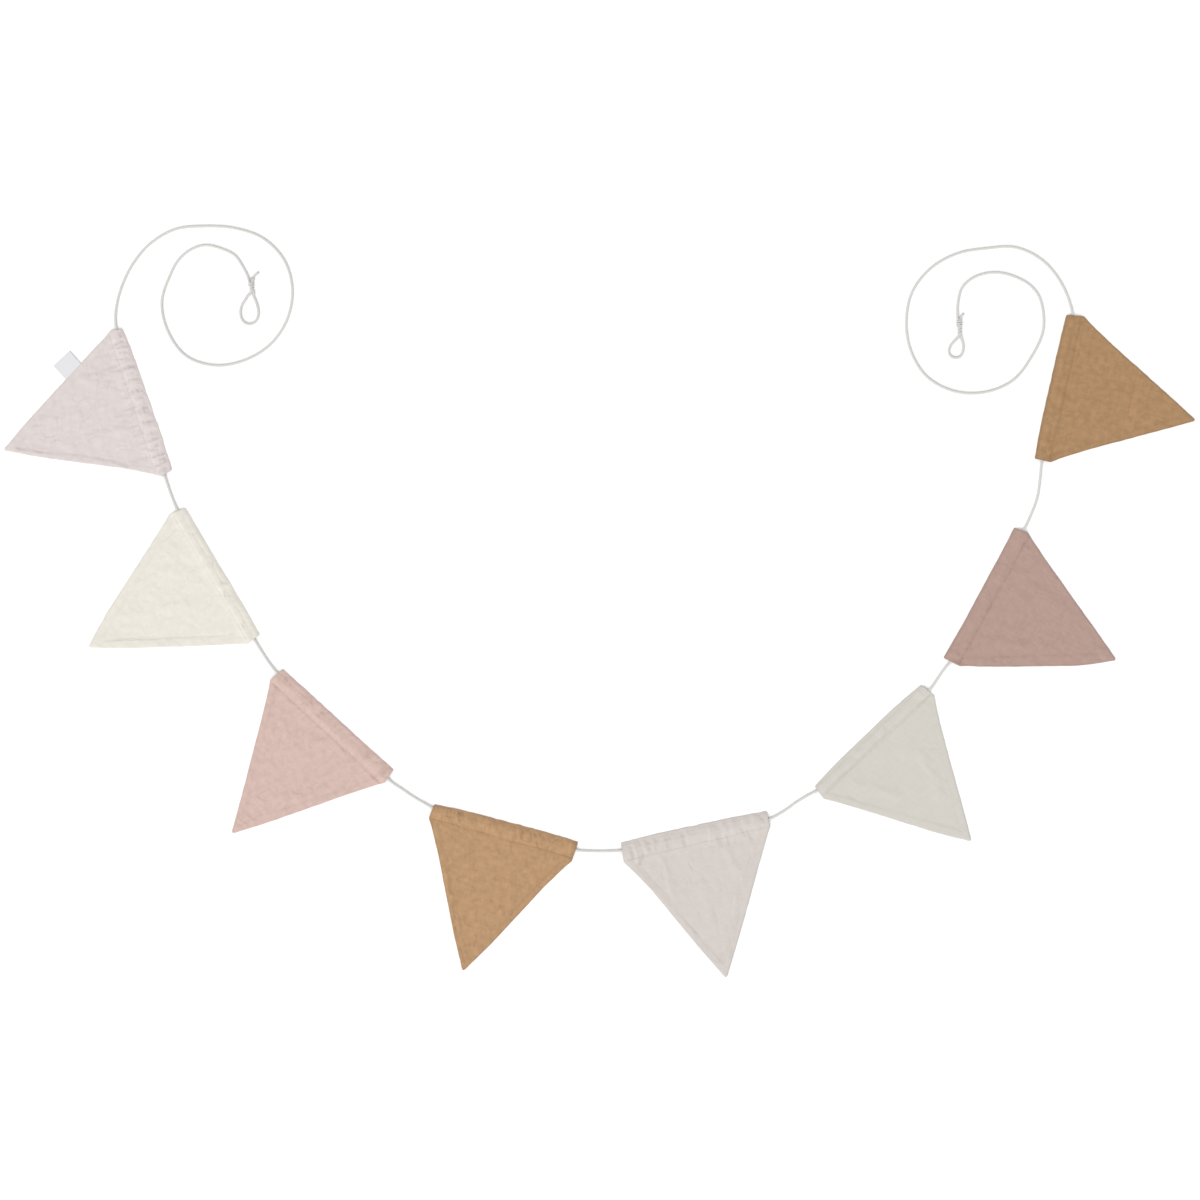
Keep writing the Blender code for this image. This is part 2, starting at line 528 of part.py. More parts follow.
class Surface:
    """Height of one pennant's upper cloth over the surface that it lies on."""

    def __init__(self, name, outline):
        self.name = name
        self.outline = outline
        self.channel = row_of(CHANNEL_COLUMNS, CHANNELS[name])
        self.puckers = [row_of(PUCKER_COLUMNS, values) for values in PUCKERS[name]]
        self.creases = [row_of(CREASE_COLUMNS, values) for values in CREASES[name]]

    def height(self, along, drop, inset, tip_share):
        """The sum of the cloth, the cord under it, its seams, puckers and creases.

        inset is the distance in from the nearest side seam, 0 or more, and None in
        the channel. tip_share goes from 0 at the shoulders to 1 at the tip.
        """
        share = along / self.outline.row["fold"]
        stitch = self.channel["stitch_start"]
        stitch += (self.channel["stitch_end"] - stitch) * share
        z = CLOTH
        # The cloth stands over the cord as a soft ridge.
        away = (drop - cord_depth(self.name, share)) / HUMP_REACH
        z += (CHANNEL_Z + CHANNEL_R + LAYER - CLOTH) * math.exp(-away * away)
        z += self.channel["swell"] * smoothstep((stitch - drop) / SWELL_RAMP)
        z -= STITCH_DIP * math.exp(-((drop - stitch) / STITCH_REACH) ** 2)
        for p in self.puckers:
            lean = p["slant"] * drop / p["deep"]
            across = (along - p["along"] - lean) / p["half"]
            fade = smoothstep((p["deep"] - drop) / (PUCKER_RAMP * p["deep"]))
            z += p["rise"] * max(0.0, 1 - abs(across)) * fade
        for c in self.creases:
            z += c["rise"] * crease_share(c, along, drop)
        if inset is not None:
            z += ALLOWANCE_RISE * smoothstep((ALLOWANCE_FOOT - inset) / ALLOWANCE_RAMP)
            z += TIP_RISE * smoothstep((tip_share - TIP_START) / TIP_RAMP)
        return z


def crease_share(crease, along, drop):
    """1 on the crease's line, falling to 0 at its half width and past its ends."""
    start = Vector((crease["along_1"], crease["drop_1"]))
    run = Vector((crease["along_2"], crease["drop_2"])) - start
    here = Vector((along, drop)) - start
    t = here.dot(run) / run.length_squared
    nearest = run * min(max(t, 0.0), 1.0)
    distance = (here - nearest).length / crease["half"]
    return 1 - smoothstep(distance)


def channel_shares(name):
    """Where the channel's columns stand, as shares of the base: one at each pucker."""
    row = row_of(PENNANT_COLUMNS, PENNANTS[name])
    fold = row["fold"]
    marks = {0.0, EDGE_INSET, fold - EDGE_INSET, fold}
    for values in PUCKERS[name]:
        pucker = row_of(PUCKER_COLUMNS, values)
        marks.add(pucker["along"])
        marks.add(max(pucker["along"] - pucker["half"], MOUTH_MARGIN))
        marks.add(min(pucker["along"] + pucker["half"], fold - MOUTH_MARGIN))
    kept = []
    for mark in sorted(marks):
        if kept and mark - kept[-1] < CLOSEST_COLUMN:
            continue
        while kept and mark - kept[-1] > WIDEST_COLUMN:
            kept.append(kept[-1] + FILL_COLUMN)
        kept.append(mark)
    kept[-1] = fold
    return [mark / fold for mark in kept]


def field_shares(width):
    """Where the field's columns stand across a row of this width."""
    close = min(1.0, width / NARROW)
    insets = (0.0, EDGE_INSET, ALLOWANCE_FOOT - ALLOWANCE_RAMP, ALLOWANCE_FOOT)
    near = [inset * close for inset in insets]
    first, last = near[-1], width - near[-1]
    between = [first + (last - first) * i / FIELD_SPANS for i in range(1, FIELD_SPANS)]
    places = near + between + [width - d for d in reversed(near)]
    return [place / width for place in places]


def zip_rows(upper, lower):
    """Triangles between two rows of (share, index), whatever their counts."""
    faces = []
    i = j = 0
    while i < len(upper) - 1 or j < len(lower) - 1:
        upper_next = upper[i + 1][0] if i < len(upper) - 1 else math.inf
        lower_next = lower[j + 1][0] if j < len(lower) - 1 else math.inf
        if upper_next <= lower_next:
            faces.append((upper[i][1], lower[j][1], upper[i + 1][1]))
            i += 1
        else:
            faces.append((upper[i][1], lower[j][1], lower[j + 1][1]))
            j += 1
    return faces


def pennant_rows(name):
    """The upper cloth's rows of (share, place), from the folded base to the tip."""
    outline = Outline(name)
    surface = Surface(name, outline)
    rows = []
    for t in CASING_ROWS:
        start, end = outline.mouth("start", t), outline.mouth("end", t)
        row = []
        for share in channel_shares(name):
            flat = start.lerp(end, share)
            flat.y -= bow(outline.bows["fold"], share) * (1 - t)
            rim = share in (0.0, 1.0)
            # The mouth stays open round the cord, so only the base is pressed down.
            z = surface.height(flat.x, flat.y, None, 0)
            if t == 0.0:
                z = min(z, EDGE + (z - EDGE) * FOLD_PRESS)
            elif rim:
                z -= MOUTH_DIP
            row.append((share, (flat.x, flat.y, z)))
        rows.append(row)
    for step in range(1, FIELD_ROWS + 1):
        t = (step / FIELD_ROWS) ** FIELD_SPREAD
        start, end = outline.side("start", t), outline.side("end", t)
        width = (end - start).length
        row = []
        for share in field_shares(width):
            flat = start.lerp(end, share)
            inset = min(share, 1 - share) * width
            rim = share in (0.0, 1.0) or step == FIELD_ROWS
            z = EDGE if rim else surface.height(flat.x, flat.y, inset, t)
            row.append((share, (flat.x, flat.y, z)))
        rows.append(row)
    return rows


def make_pennant(name, channel):
    """One pennant as a closed solid, its under side flat on the surface."""
    rows = pennant_rows(name)
    verts = []
    indexed = []
    for row in rows:
        numbered = []
        for share, (along, drop, z) in row:
            numbered.append((share, len(verts)))
            verts.append((along * MM, -drop * MM, z * MM))
        indexed.append(numbered)
    faces = []
    for upper, lower in zip(indexed, indexed[1:]):
        faces += zip_rows(upper, lower)
    rim = [index for _, index in indexed[0]]
    rim += [row[-1][1] for row in indexed[1:-1]]
    rim += [index for _, index in reversed(indexed[-1])]
    rim += [row[0][1] for row in reversed(indexed[1:-1])]
    under = []
    for index in rim:
        under.append(len(verts))
        verts.append((verts[index][0], verts[index][1], 0.0))
    count = len(rim)
    for i in range(count):
        j = (i + 1) % count
        faces.append((rim[i], rim[j], under[j], under[i]))
    faces.append(tuple(under))
    mesh = mesh_from(name, verts, faces)
    thing = add_object(name, mesh, PENNANT_FINISH[name])
    thing.matrix_world = pennant_place(name)
    cut = thing.modifiers.new("channel", "BOOLEAN")
    cut.operation = "DIFFERENCE"
    cut.solver = "EXACT"
    cut.object = channel
    return thing


def make_label():
    """The folded tab, a hairpin section run between its seam and its outer fold."""
    outline = Outline("pennant_1")
    corners = []
    for share in LABEL_SEAM:
        seam = outline.side("start", share)
        run = outline.tip - outline.start_shoulder
        out = Vector((-run.y, run.x)).normalized()
        corners.append(seam + out * LABEL_GAP)
    folds = [Vector(corner) for corner in LABEL_FOLD]
    verts = []
    for seam, fold in zip(corners, folds):
        for values in LABEL_SECTION:
            row = row_of(LABEL_SECTION_COLUMNS, values)
            place = seam.lerp(fold, row["out"])
            verts.append((place.x * MM, -place.y * MM, row["height"] * MM))
    count = len(LABEL_SECTION)
    faces = []
    for i in range(count):
        j = (i + 1) % count
        faces.append((i, j, j + count, i + count))
    faces.append(tuple(range(count)))
    faces.append(tuple(reversed(range(count, 2 * count))))
    thing = add_object("label", mesh_from("label", verts, faces), "label_tape")
    thing.matrix_world = pennant_place("pennant_1")
    return thing


def main():
    clear_scene()
    channel = make_cords()
    for name in PENNANTS:
        make_pennant(name, channel)
    for name in KNOTS:
        make_knot(name)
    make_label()


main()
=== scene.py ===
"""The looks of a bunting: eight turned-linen pennants threaded on one cotton cord.

Tables and named sizes are in millimetres, in the garland's own frame: X along the
garland, +Y up the page, +Z up off the surface. MM turns them into metres.
A pennant's own frame has "along" running down its folded base, and "drop" running
from the base towards its tip.
"""
import math

import bpy
import numpy as np
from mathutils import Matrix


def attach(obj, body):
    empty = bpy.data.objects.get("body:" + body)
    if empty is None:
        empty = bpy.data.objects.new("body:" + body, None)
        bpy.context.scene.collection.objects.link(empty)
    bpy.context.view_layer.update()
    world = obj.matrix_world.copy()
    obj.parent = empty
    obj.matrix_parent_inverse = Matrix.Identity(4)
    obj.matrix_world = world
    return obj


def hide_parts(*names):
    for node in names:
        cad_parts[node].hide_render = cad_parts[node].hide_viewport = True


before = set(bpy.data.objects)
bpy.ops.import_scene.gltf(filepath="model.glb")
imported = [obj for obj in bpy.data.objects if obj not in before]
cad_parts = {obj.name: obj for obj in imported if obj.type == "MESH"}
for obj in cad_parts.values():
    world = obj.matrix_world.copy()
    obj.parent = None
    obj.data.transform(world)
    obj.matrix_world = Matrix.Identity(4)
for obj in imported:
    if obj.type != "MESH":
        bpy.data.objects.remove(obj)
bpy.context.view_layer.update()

MM = 0.001

# Cloth
LINEN = 0.5             # thickness of one layer
CLOTH = 1.2             # front and back together, with the air between them
EDGE_MIDDLE = 0.6       # height of the seam line round the outline
SIDE_ROLL = 2.3         # how far in from a side seam the cloth reaches its full height
FOLD_ROLL = 2.2         # the same at the folded base
UNDER_ROLL = 1.3        # the same for the under cloth, at its sides and base
TIP_ROLL = 1.8          # the same for both at the tip
SIDE_SLANT = 0.87       # distance from a side seam for each 1 along a row
SEAM_NOTCH = 0.24       # how deep the seam line lies between its two rolled edges
ALLOWANCE = 7.0         # seam allowance turned inside both side seams
ALLOWANCE_RISE = 0.42
ALLOWANCE_RAMP = 2.4    # the width over which that height runs out
MOUTH_HEM = 8.6         # turned end of the channel at its mouths
MOUTH_HEM_RISE = 0.28
MOUTH_HEM_RAMP = 1.4
CHANNEL_RAMP = 3.0      # the width over which the channel's own forms run out
TIP_HALF = 1.3          # half width of the blunt tip
TIP_RISE = 0.7          # extra height where the allowances bunch at the tip
TIP_BUNCH = 26.0        # how far from the tip that bunching starts
TIP_RAMP = 20.0         # the length over which it comes up
STITCH_REACH = 1.2      # how far to each side of the line that is felt
SEAM_INSET = 0.4        # how far the worn, rounded outline lies inside the cut one
CORNER = 1.3            # radius of the channel's corners at the folded base
OVER_CORD = 0.55        # least height of the cloth's face over the cord
COVER_BLEND = 0.2       # how softly that height takes over from the cloth's own
LEAST_FACE = 0.9        # least height of the upper face anywhere
MOST_LIFT = 0.5         # most that the under face lifts off the surface

# The channel's mouths and its inner faces
LIP = 0.4               # how far in from a mouth's edge its lip is rounded
MOUTH_CLOSING = 2.4     # the stretch before the shoulders where a mouth closes
MOUTH_CORNER = 1.2      # the same at the folded base
TURN_IN = 1.6           # how far in from a mouth the inner faces reach their own width
BASE_CLEAR = 0.9        # how far from the base the inner faces meet
STITCH_CLEAR = 1.2      # how far before the stitch line they meet
SHOULDER_CLEAR = 1.0    # how far before the shoulders they meet at the latest
INNER_ROLL = 0.8        # how far from there they part to their full height
LEAST_AIR = 0.12        # least height between them
INNER_RISE = 0.25       # how far above the seam line they may meet

# Cord
CORD_R = 1.2
CHANNEL_Z = 1.75        # height of the cord's middle inside a channel
HUMP_REACH = 3.2        # how far from the cord the under cloth is pressed flat
REST_Z = 1.25           # height of the cord's middle where it lies on the surface
CHANNEL_STATIONS = (0.03, 0.35, 0.65, 0.97)     # its route's points there, along the base
CORD_SIDES = 20
CORD_STEP = 0.5         # distance between the cord's rings
HIDDEN_STRIDE = 5       # inside a channel one ring in so many is kept
PLAIT_LOBES = 5         # strands showing round the cord
PLAIT_PITCH = 2.7       # length of one crossing of the plait
PLAIT_RELIEF = 0.04

# Each pennant. fold_x, fold_y: where its folded base starts. heading: the direction
# in which the base runs, in degrees. fold: the base's length. flare and depth: how
# far the shoulder stands out past the base's end, and its distance from the base.
# tip_along, tip_drop: the tip.
PENNANT_COLUMNS = ("fold_x", "fold_y", "heading", "fold", "start_flare", "start_depth",
                   "end_flare", "end_depth", "tip_along", "tip_drop")
PENNANTS = (
    (-476.4, 317.4, -71.0, 149.3, 2.1, 13.2, 2.7, 11.5, 75.6, 151.6),
    (-415.1, 138.1, -59.5, 147.1, 2.1, 16.8, 1.4, 15.1, 71.0, 152.7),
    (-316.8, -22.8, -42.2, 149.6, 2.0, 16.5, 2.0, 15.9, 72.5, 155.1),
    (-165.3, -157.8, -15.0, 148.7, 1.7, 14.6, -1.1, 19.1, 70.8, 152.9),
    (21.4, -197.9, 12.6, 149.1, 1.2, 18.4, 0.1, 15.4, 73.5, 152.6),
    (215.8, -140.8, 43.7, 146.7, 2.0, 14.3, 2.5, 15.9, 75.2, 145.9),
    (344.9, -12.1, 61.4, 148.1, -0.5, 16.9, 2.0, 13.1, 80.6, 150.6),
    (436.4, 187.5, 77.5, 146.6, 0.2, 14.7, 2.8, 15.6, 72.0, 146.6),
)

# How far each edge stands outwards: the folded base at its start, a quarter and three
# quarters of the way along it and at its end, and each side at those two quarters.
BOW_COLUMNS = ("fold", "start_side", "end_side")
BOWS = (
    ((-0.3, 1.1, 1.3, 0.3), (0.7, 1.4), (-1.6, 0.9)),
    ((1.1, 0.8, 1.4, 0.7), (0.5, 2.1), (1.1, 1.8)),
    ((0.0, 0.1, -0.4, 0.0), (-0.9, -0.7), (-0.4, 0.9)),
    ((0.0, 1.8, 2.0, 0.9), (-1.0, 0.7), (-1.3, 0.9)),
    ((1.4, 2.6, 1.9, 0.7), (-2.4, 0.1), (0.3, 0.8)),
    ((1.2, 3.1, 3.2, 1.2), (-0.1, 1.4), (-1.3, -0.1)),
    ((1.4, 0.4, 0.7, 1.4), (2.6, 4.4), (-0.6, 0.2)),
    ((1.5, 2.9, 2.4, 1.7), (-1.5, -0.4), (-1.1, -0.1)),
)

# Distance from the base of the cord and of the channel's stitch line, at the start
# and at the end. dip: how far that line pulls the cloth down. gather: how crumpled the
# channel is.
CHANNEL_COLUMNS = ("cord_start", "cord_end", "stitch_start", "stitch_end", "dip", "gather")
CHANNELS = (
    (7.6, 9.0, 15.0, 16.5, 0.2, 1.7),
    (7.4, 6.9, 13.5, 13.0, 0.15, 0.6),
    (7.0, 9.8, 17.4, 18.2, 0.45, 0.9),
    (5.0, 7.6, 14.7, 16.2, 0.6, 1.7),
    (6.7, 8.0, 17.0, 15.0, 0.1, 0.8),
    (5.2, 8.4, 11.5, 13.0, 0.5, 0.15),
    (7.3, 7.6, 15.5, 15.5, 0.25, 0.15),
    (5.3, 5.2, 13.5, 14.0, 0.2, 0.3),
)

# How high the cloth stands over the cord above flat cloth, at shares of the way from
# the base (0) to the stitch line (1) and a little past it.
HUMP_STOPS = (0.0, 0.12, 0.25, 0.4, 0.55, 0.7, 0.85, 1.0, 1.15, 1.4)
HUMPS = (
    (0.0, 1.15, 1.65, 2.15, 2.5, 2.6, 1.85, 0.9, 0.4, 0.0),
    (0.0, 1.2, 1.5, 1.85, 2.45, 2.9, 2.7, 1.6, 0.5, 0.1),
    (0.0, 0.8, 1.4, 2.15, 2.75, 2.9, 1.7, 0.4, 0.2, 0.0),
    (0.0, 1.4, 2.25, 2.7, 2.5, 1.7, 0.8, 0.1, 0.1, 0.0),
    (0.0, 1.2, 1.75, 2.2, 2.45, 2.25, 1.85, 1.4, 1.0, 0.4),
    (0.0, 1.45, 1.95, 2.3, 2.5, 2.3, 1.3, 0.3, 0.2, 0.0),
    (0.0, 1.2, 1.8, 2.4, 2.5, 2.0, 1.2, 0.3, 0.15, 0.0),
    (0.0, 2.2, 2.6, 2.3, 1.4, 1.25, 1.6, 0.4, 0.15, 0.0),
)

# crumple: how creased a pennant's cloth is all over. streaks, mottle: how plainly its
# threads show, and how uneven its colour is. rim: how much darker painted shade makes
# its edges.
LOOK_COLUMNS = ("crumple", "streaks", "mottle", "rim")
LOOKS = (
    (2.6, 0.03, 0.11, 0.02),
    (1.8, 0.05, 0.08, 0.03),
    (2.5, 0.07, 0.18, 0.04),
    (3.6, 0.11, 0.34, 0.12),
    (1.1, 0.03, 0.06, 0.05),
    (0.5, 0.05, 0.03, 0.03),
    (1.9, 0.08, 0.15, 0.09),
    (2.4, 0.15, 0.30, 0.15),
)

HOLLOW_SHADE = 0.09     # how much darker a small fold is where it is 1 mm deep
HOLLOW_WIDEST = 5.0     # half width of the widest crease that is shaded
RIDGE_LIGHT = 0.35      # the share of that by which a ridge is paler at most
LAYERS_SHADE = 0.025    # how much darker the line is where the allowances end
LAYERS_WIDTH = 1.8      # half width of that line
RIM_SHADE_WIDTH = 3.2         # how far in from the outline the painted rim shade reaches
INNER_RIM_SHADE = 0.6         # how much of the painted rim shade the channel's inner faces take, from 0 to 1

# Waves worked into the cloth by its crumple. turn: which of the pennant's seeds.
# height: at a crumple of 1. size: the waves' length.
CRUMPLE_COLUMNS = ("turn", "height", "size")
CRUMPLES = ((2, 0.16, 15.0), (3, 0.08, 7.0), (8, 0.03, 4.0))

# Puckers gathered across the channel. along: their place on the base. half: half
# their width. deep: how far from the base they run out. slant: how far they lean
# towards the end of the base by there. rise: their height, or depth where negative.
PUCKER_COLUMNS = ("along", "half", "deep", "slant", "rise")
PUCKERS = (
    ((9, 3.5, 24, 0, 0.5), (20, 3.5, 19, -2, 0.5), (33, 4.5, 21, -1, 0.4),
     (44, 4.0, 28, 4, 0.5), (58, 5.0, 17, 0, 0.4), (72, 4.5, 17, -1, 0.5),
     (91, 5.0, 18, -2, 0.4), (103, 5.0, 16, 2, 0.5), (115, 3.0, 20, 2, 0.6),
     (123, 3.5, 26, 3, 0.4), (133, 3.0, 22, 1, 0.5), (142, 3.0, 20, 2, 0.4)),
    ((12, 4.0, 16, 0, 0.3), (49, 6.0, 14, 1, 0.2), (88, 4.0, 15, -3, 0.5),
     (127, 7.0, 14, 0, 0.3)),
    ((20, 7.0, 14, 0, 0.3), (52, 5.0, 13, 2, 0.3), (84, 5.0, 14, -3, 0.4),
     (103, 5.0, 13, 1, 0.3), (128, 6.0, 14, 0, 0.3)),
    ((11, 3.0, 16, 0, 0.4), (23, 3.0, 9, 2, 0.6), (32, 3.0, 24, 2, 0.4),
     (53, 7.0, 14, 0, 0.3), (87, 3.5, 15, 4, 0.6), (97, 2.5, 12, 1, 0.4),
     (106, 3.0, 17, 5, 0.7), (130, 7.0, 15, 0, 0.3)),
    ((12, 2.5, 24, 1, 0.3), (21, 2.5, 17, 2, 0.3), (31, 3.0, 16, 1, 0.25),
     (41, 3.0, 14, 0, 0.3), (65, 4.0, 15, 2, 0.3), (89, 4.0, 20, -1, 0.3),
     (102, 3.0, 26, 2, 0.5), (112, 3.0, 24, 1, 0.4), (124, 3.5, 20, 2, 0.4),
     (134, 3.5, 24, 2, 0.5)),
    ((25, 8.0, 11, 0, 0.2), (52, 6.0, 11, 0, 0.2), (82, 5.0, 12, 0, 0.3),
     (112, 7.0, 12, 0, 0.2), (138, 4.0, 15, 0, 0.3)),
    ((8, 3.5, 17, 0, 0.4), (45, 8.0, 15, 0, 0.2), (95, 8.0, 15, 0, 0.2),
     (137, 4.0, 18, -2, 0.4)),
    ((8, 3.5, 16, 2, 0.4), (33, 6.0, 12, 4, 0.3), (66, 7.0, 12, 0, 0.3),
     (98, 6.0, 12, 0, 0.3), (139, 3.5, 18, -2, 0.4)),
)

# Narrow pleats pinched into the channel. along: their place at drop_1. They run
# from drop_1 to drop_2, leaning by slant. half: half their width. rise: their depth.
PLEAT_COLUMNS = ("along", "drop_1", "drop_2", "slant", "half", "rise")
PLEATS = (
    ((6, 3, 9, 3, 1.3, -0.5), (11, 3, 12, 1, 0.8, -0.6), (17, 2, 12, -1, 0.8, -0.7),
     (23, 3, 11, -2, 0.8, -0.55), (29, 4, 11, -1, 0.6, -0.35), (38, 1, 12, -1, 0.9, -0.75),
     (44, 3, 10, 1, 0.8, -0.5), (51, 2, 11, -1, 0.7, -0.45), (64, 1, 11, -2, 0.9, -0.8),
     (71, 3, 10, -1, 0.7, -0.4), (81, 2, 10, 1, 0.9, -0.7), (86, 2, 11, -1, 0.7, -0.45),
     (96, 1, 11, -1, 0.9, -0.8), (107, 2, 11, 1, 0.8, -0.55), (114, 2, 12, 1, 0.8, -0.65),
     (121, 4, 13, 2, 0.8, -0.6), (125, 6, 14, -1, 0.6, -0.45), (130, 2, 13, 1, 0.9, -0.7),
     (135, 2, 8, 1, 0.6, -0.5), (139, 3, 13, 1, 0.8, -0.55), (145, 4, 12, 1, 0.8, -0.45)),
    ((85, 1, 6, -2, 1.3, -0.5), (92, 6, 9, 4, 1.2, -0.4), (127, 5, 9, 5, 1.3, -0.45),
     (60, 1, 4, 3, 1.2, -0.3)),
    ((8, 2, 8, 3, 1.5, -0.45), (42, 2, 6, 2, 1.3, -0.35), (60, 3, 10, -3, 1.3, -0.35),
     (83, 4, 12, -2, 1.4, -0.4), (118, 2, 7, 3, 1.3, -0.3), (143, 2, 10, 1, 1.5, -0.45)),
    ((8, 8, 16, -1, 1.0, 0.35), (10.5, 1, 15, 1, 0.7, -0.6), (14.5, 1, 8, 1, 0.6, -0.6),
     (18, 1, 8, 1, 0.6, -0.6), (21.5, 1, 7, 1, 0.6, -0.55), (26, 1, 9, 3, 0.8, -0.9),
     (30, 1, 7, 2, 0.6, -0.4), (35, 8, 16, 1, 0.6, -0.3), (45, 2, 9, -1, 0.8, -0.4),
     (51, 9, 15, 2, 0.6, -0.4), (59, 3, 9, 1, 0.8, -0.4), (66, 2, 8, 1, 0.6, -0.35),
     (87, 2, 13, 5, 1.0, 0.4), (85, 3, 12, 3, 0.6, -0.4), (92.5, 3, 10, 1, 0.7, -0.6),
     (97, 2, 11, 1, 1.0, 0.4), (101, 2, 10, 2, 0.6, -0.5), (105, 2, 16, 7, 0.8, -0.8),
     (109, 3, 14, 5, 0.9, 0.35), (114, 3, 11, 1, 0.6, -0.45), (121, 4, 13, 0, 0.6, -0.35)),
    ((9, 5, 16, 1, 1.1, -0.45), (14, 8, 20, -2, 1.1, 0.4), (20, 14, 23, -6, 1.2, -0.55),
     (26, 3, 12, 1, 1.0, -0.4), (35, 3, 13, -2, 1.0, -0.35), (45, 3, 14, 1, 1.0, -0.3),
     (62, 2, 14, 1, 1.1, -0.35), (90, 3, 13, -2, 1.0, 0.4), (97, 14, 24, 1, 1.2, -0.4),
     (105, 15, 24, 1, 1.1, -0.3), (113, 16, 25, -1, 1.1, -0.3), (121, 10, 18, 2, 1.1, -0.35),
     (126, 12, 24, 3, 1.1, -0.35), (141, 1, 9, 3, 1.3, -0.5)),
    ((47, 2, 9, 2, 1.4, -0.2), (92, 3, 9, -2, 1.4, -0.2), (134, 11, 14, 4, 1.2, -0.25)),
    ((4, 8, 17, 1, 1.4, -0.45), (12, 3, 11, -1, 1.3, -0.3), (140, 14, 22, -3, 1.4, -0.35)),
    ((5, 10, 18, 2, 1.5, -0.5), (41, 1, 5, 6, 1.3, -0.35), (56, 2, 8, 2, 1.2, -0.25),
     (75, 4, 12, 1, 1.1, -0.2), (109, 4, 12, -1, 1.1, -0.25), (142, 8, 17, 2, 1.4, -0.4)),
)

# How much more the creases are worked than their tables say.
PUCKER_DEPTH = 1.3
PLEAT_DEPTH = 1.9
PLEAT_WIDTH = 1.6
CREASE_DEPTH = 1.7

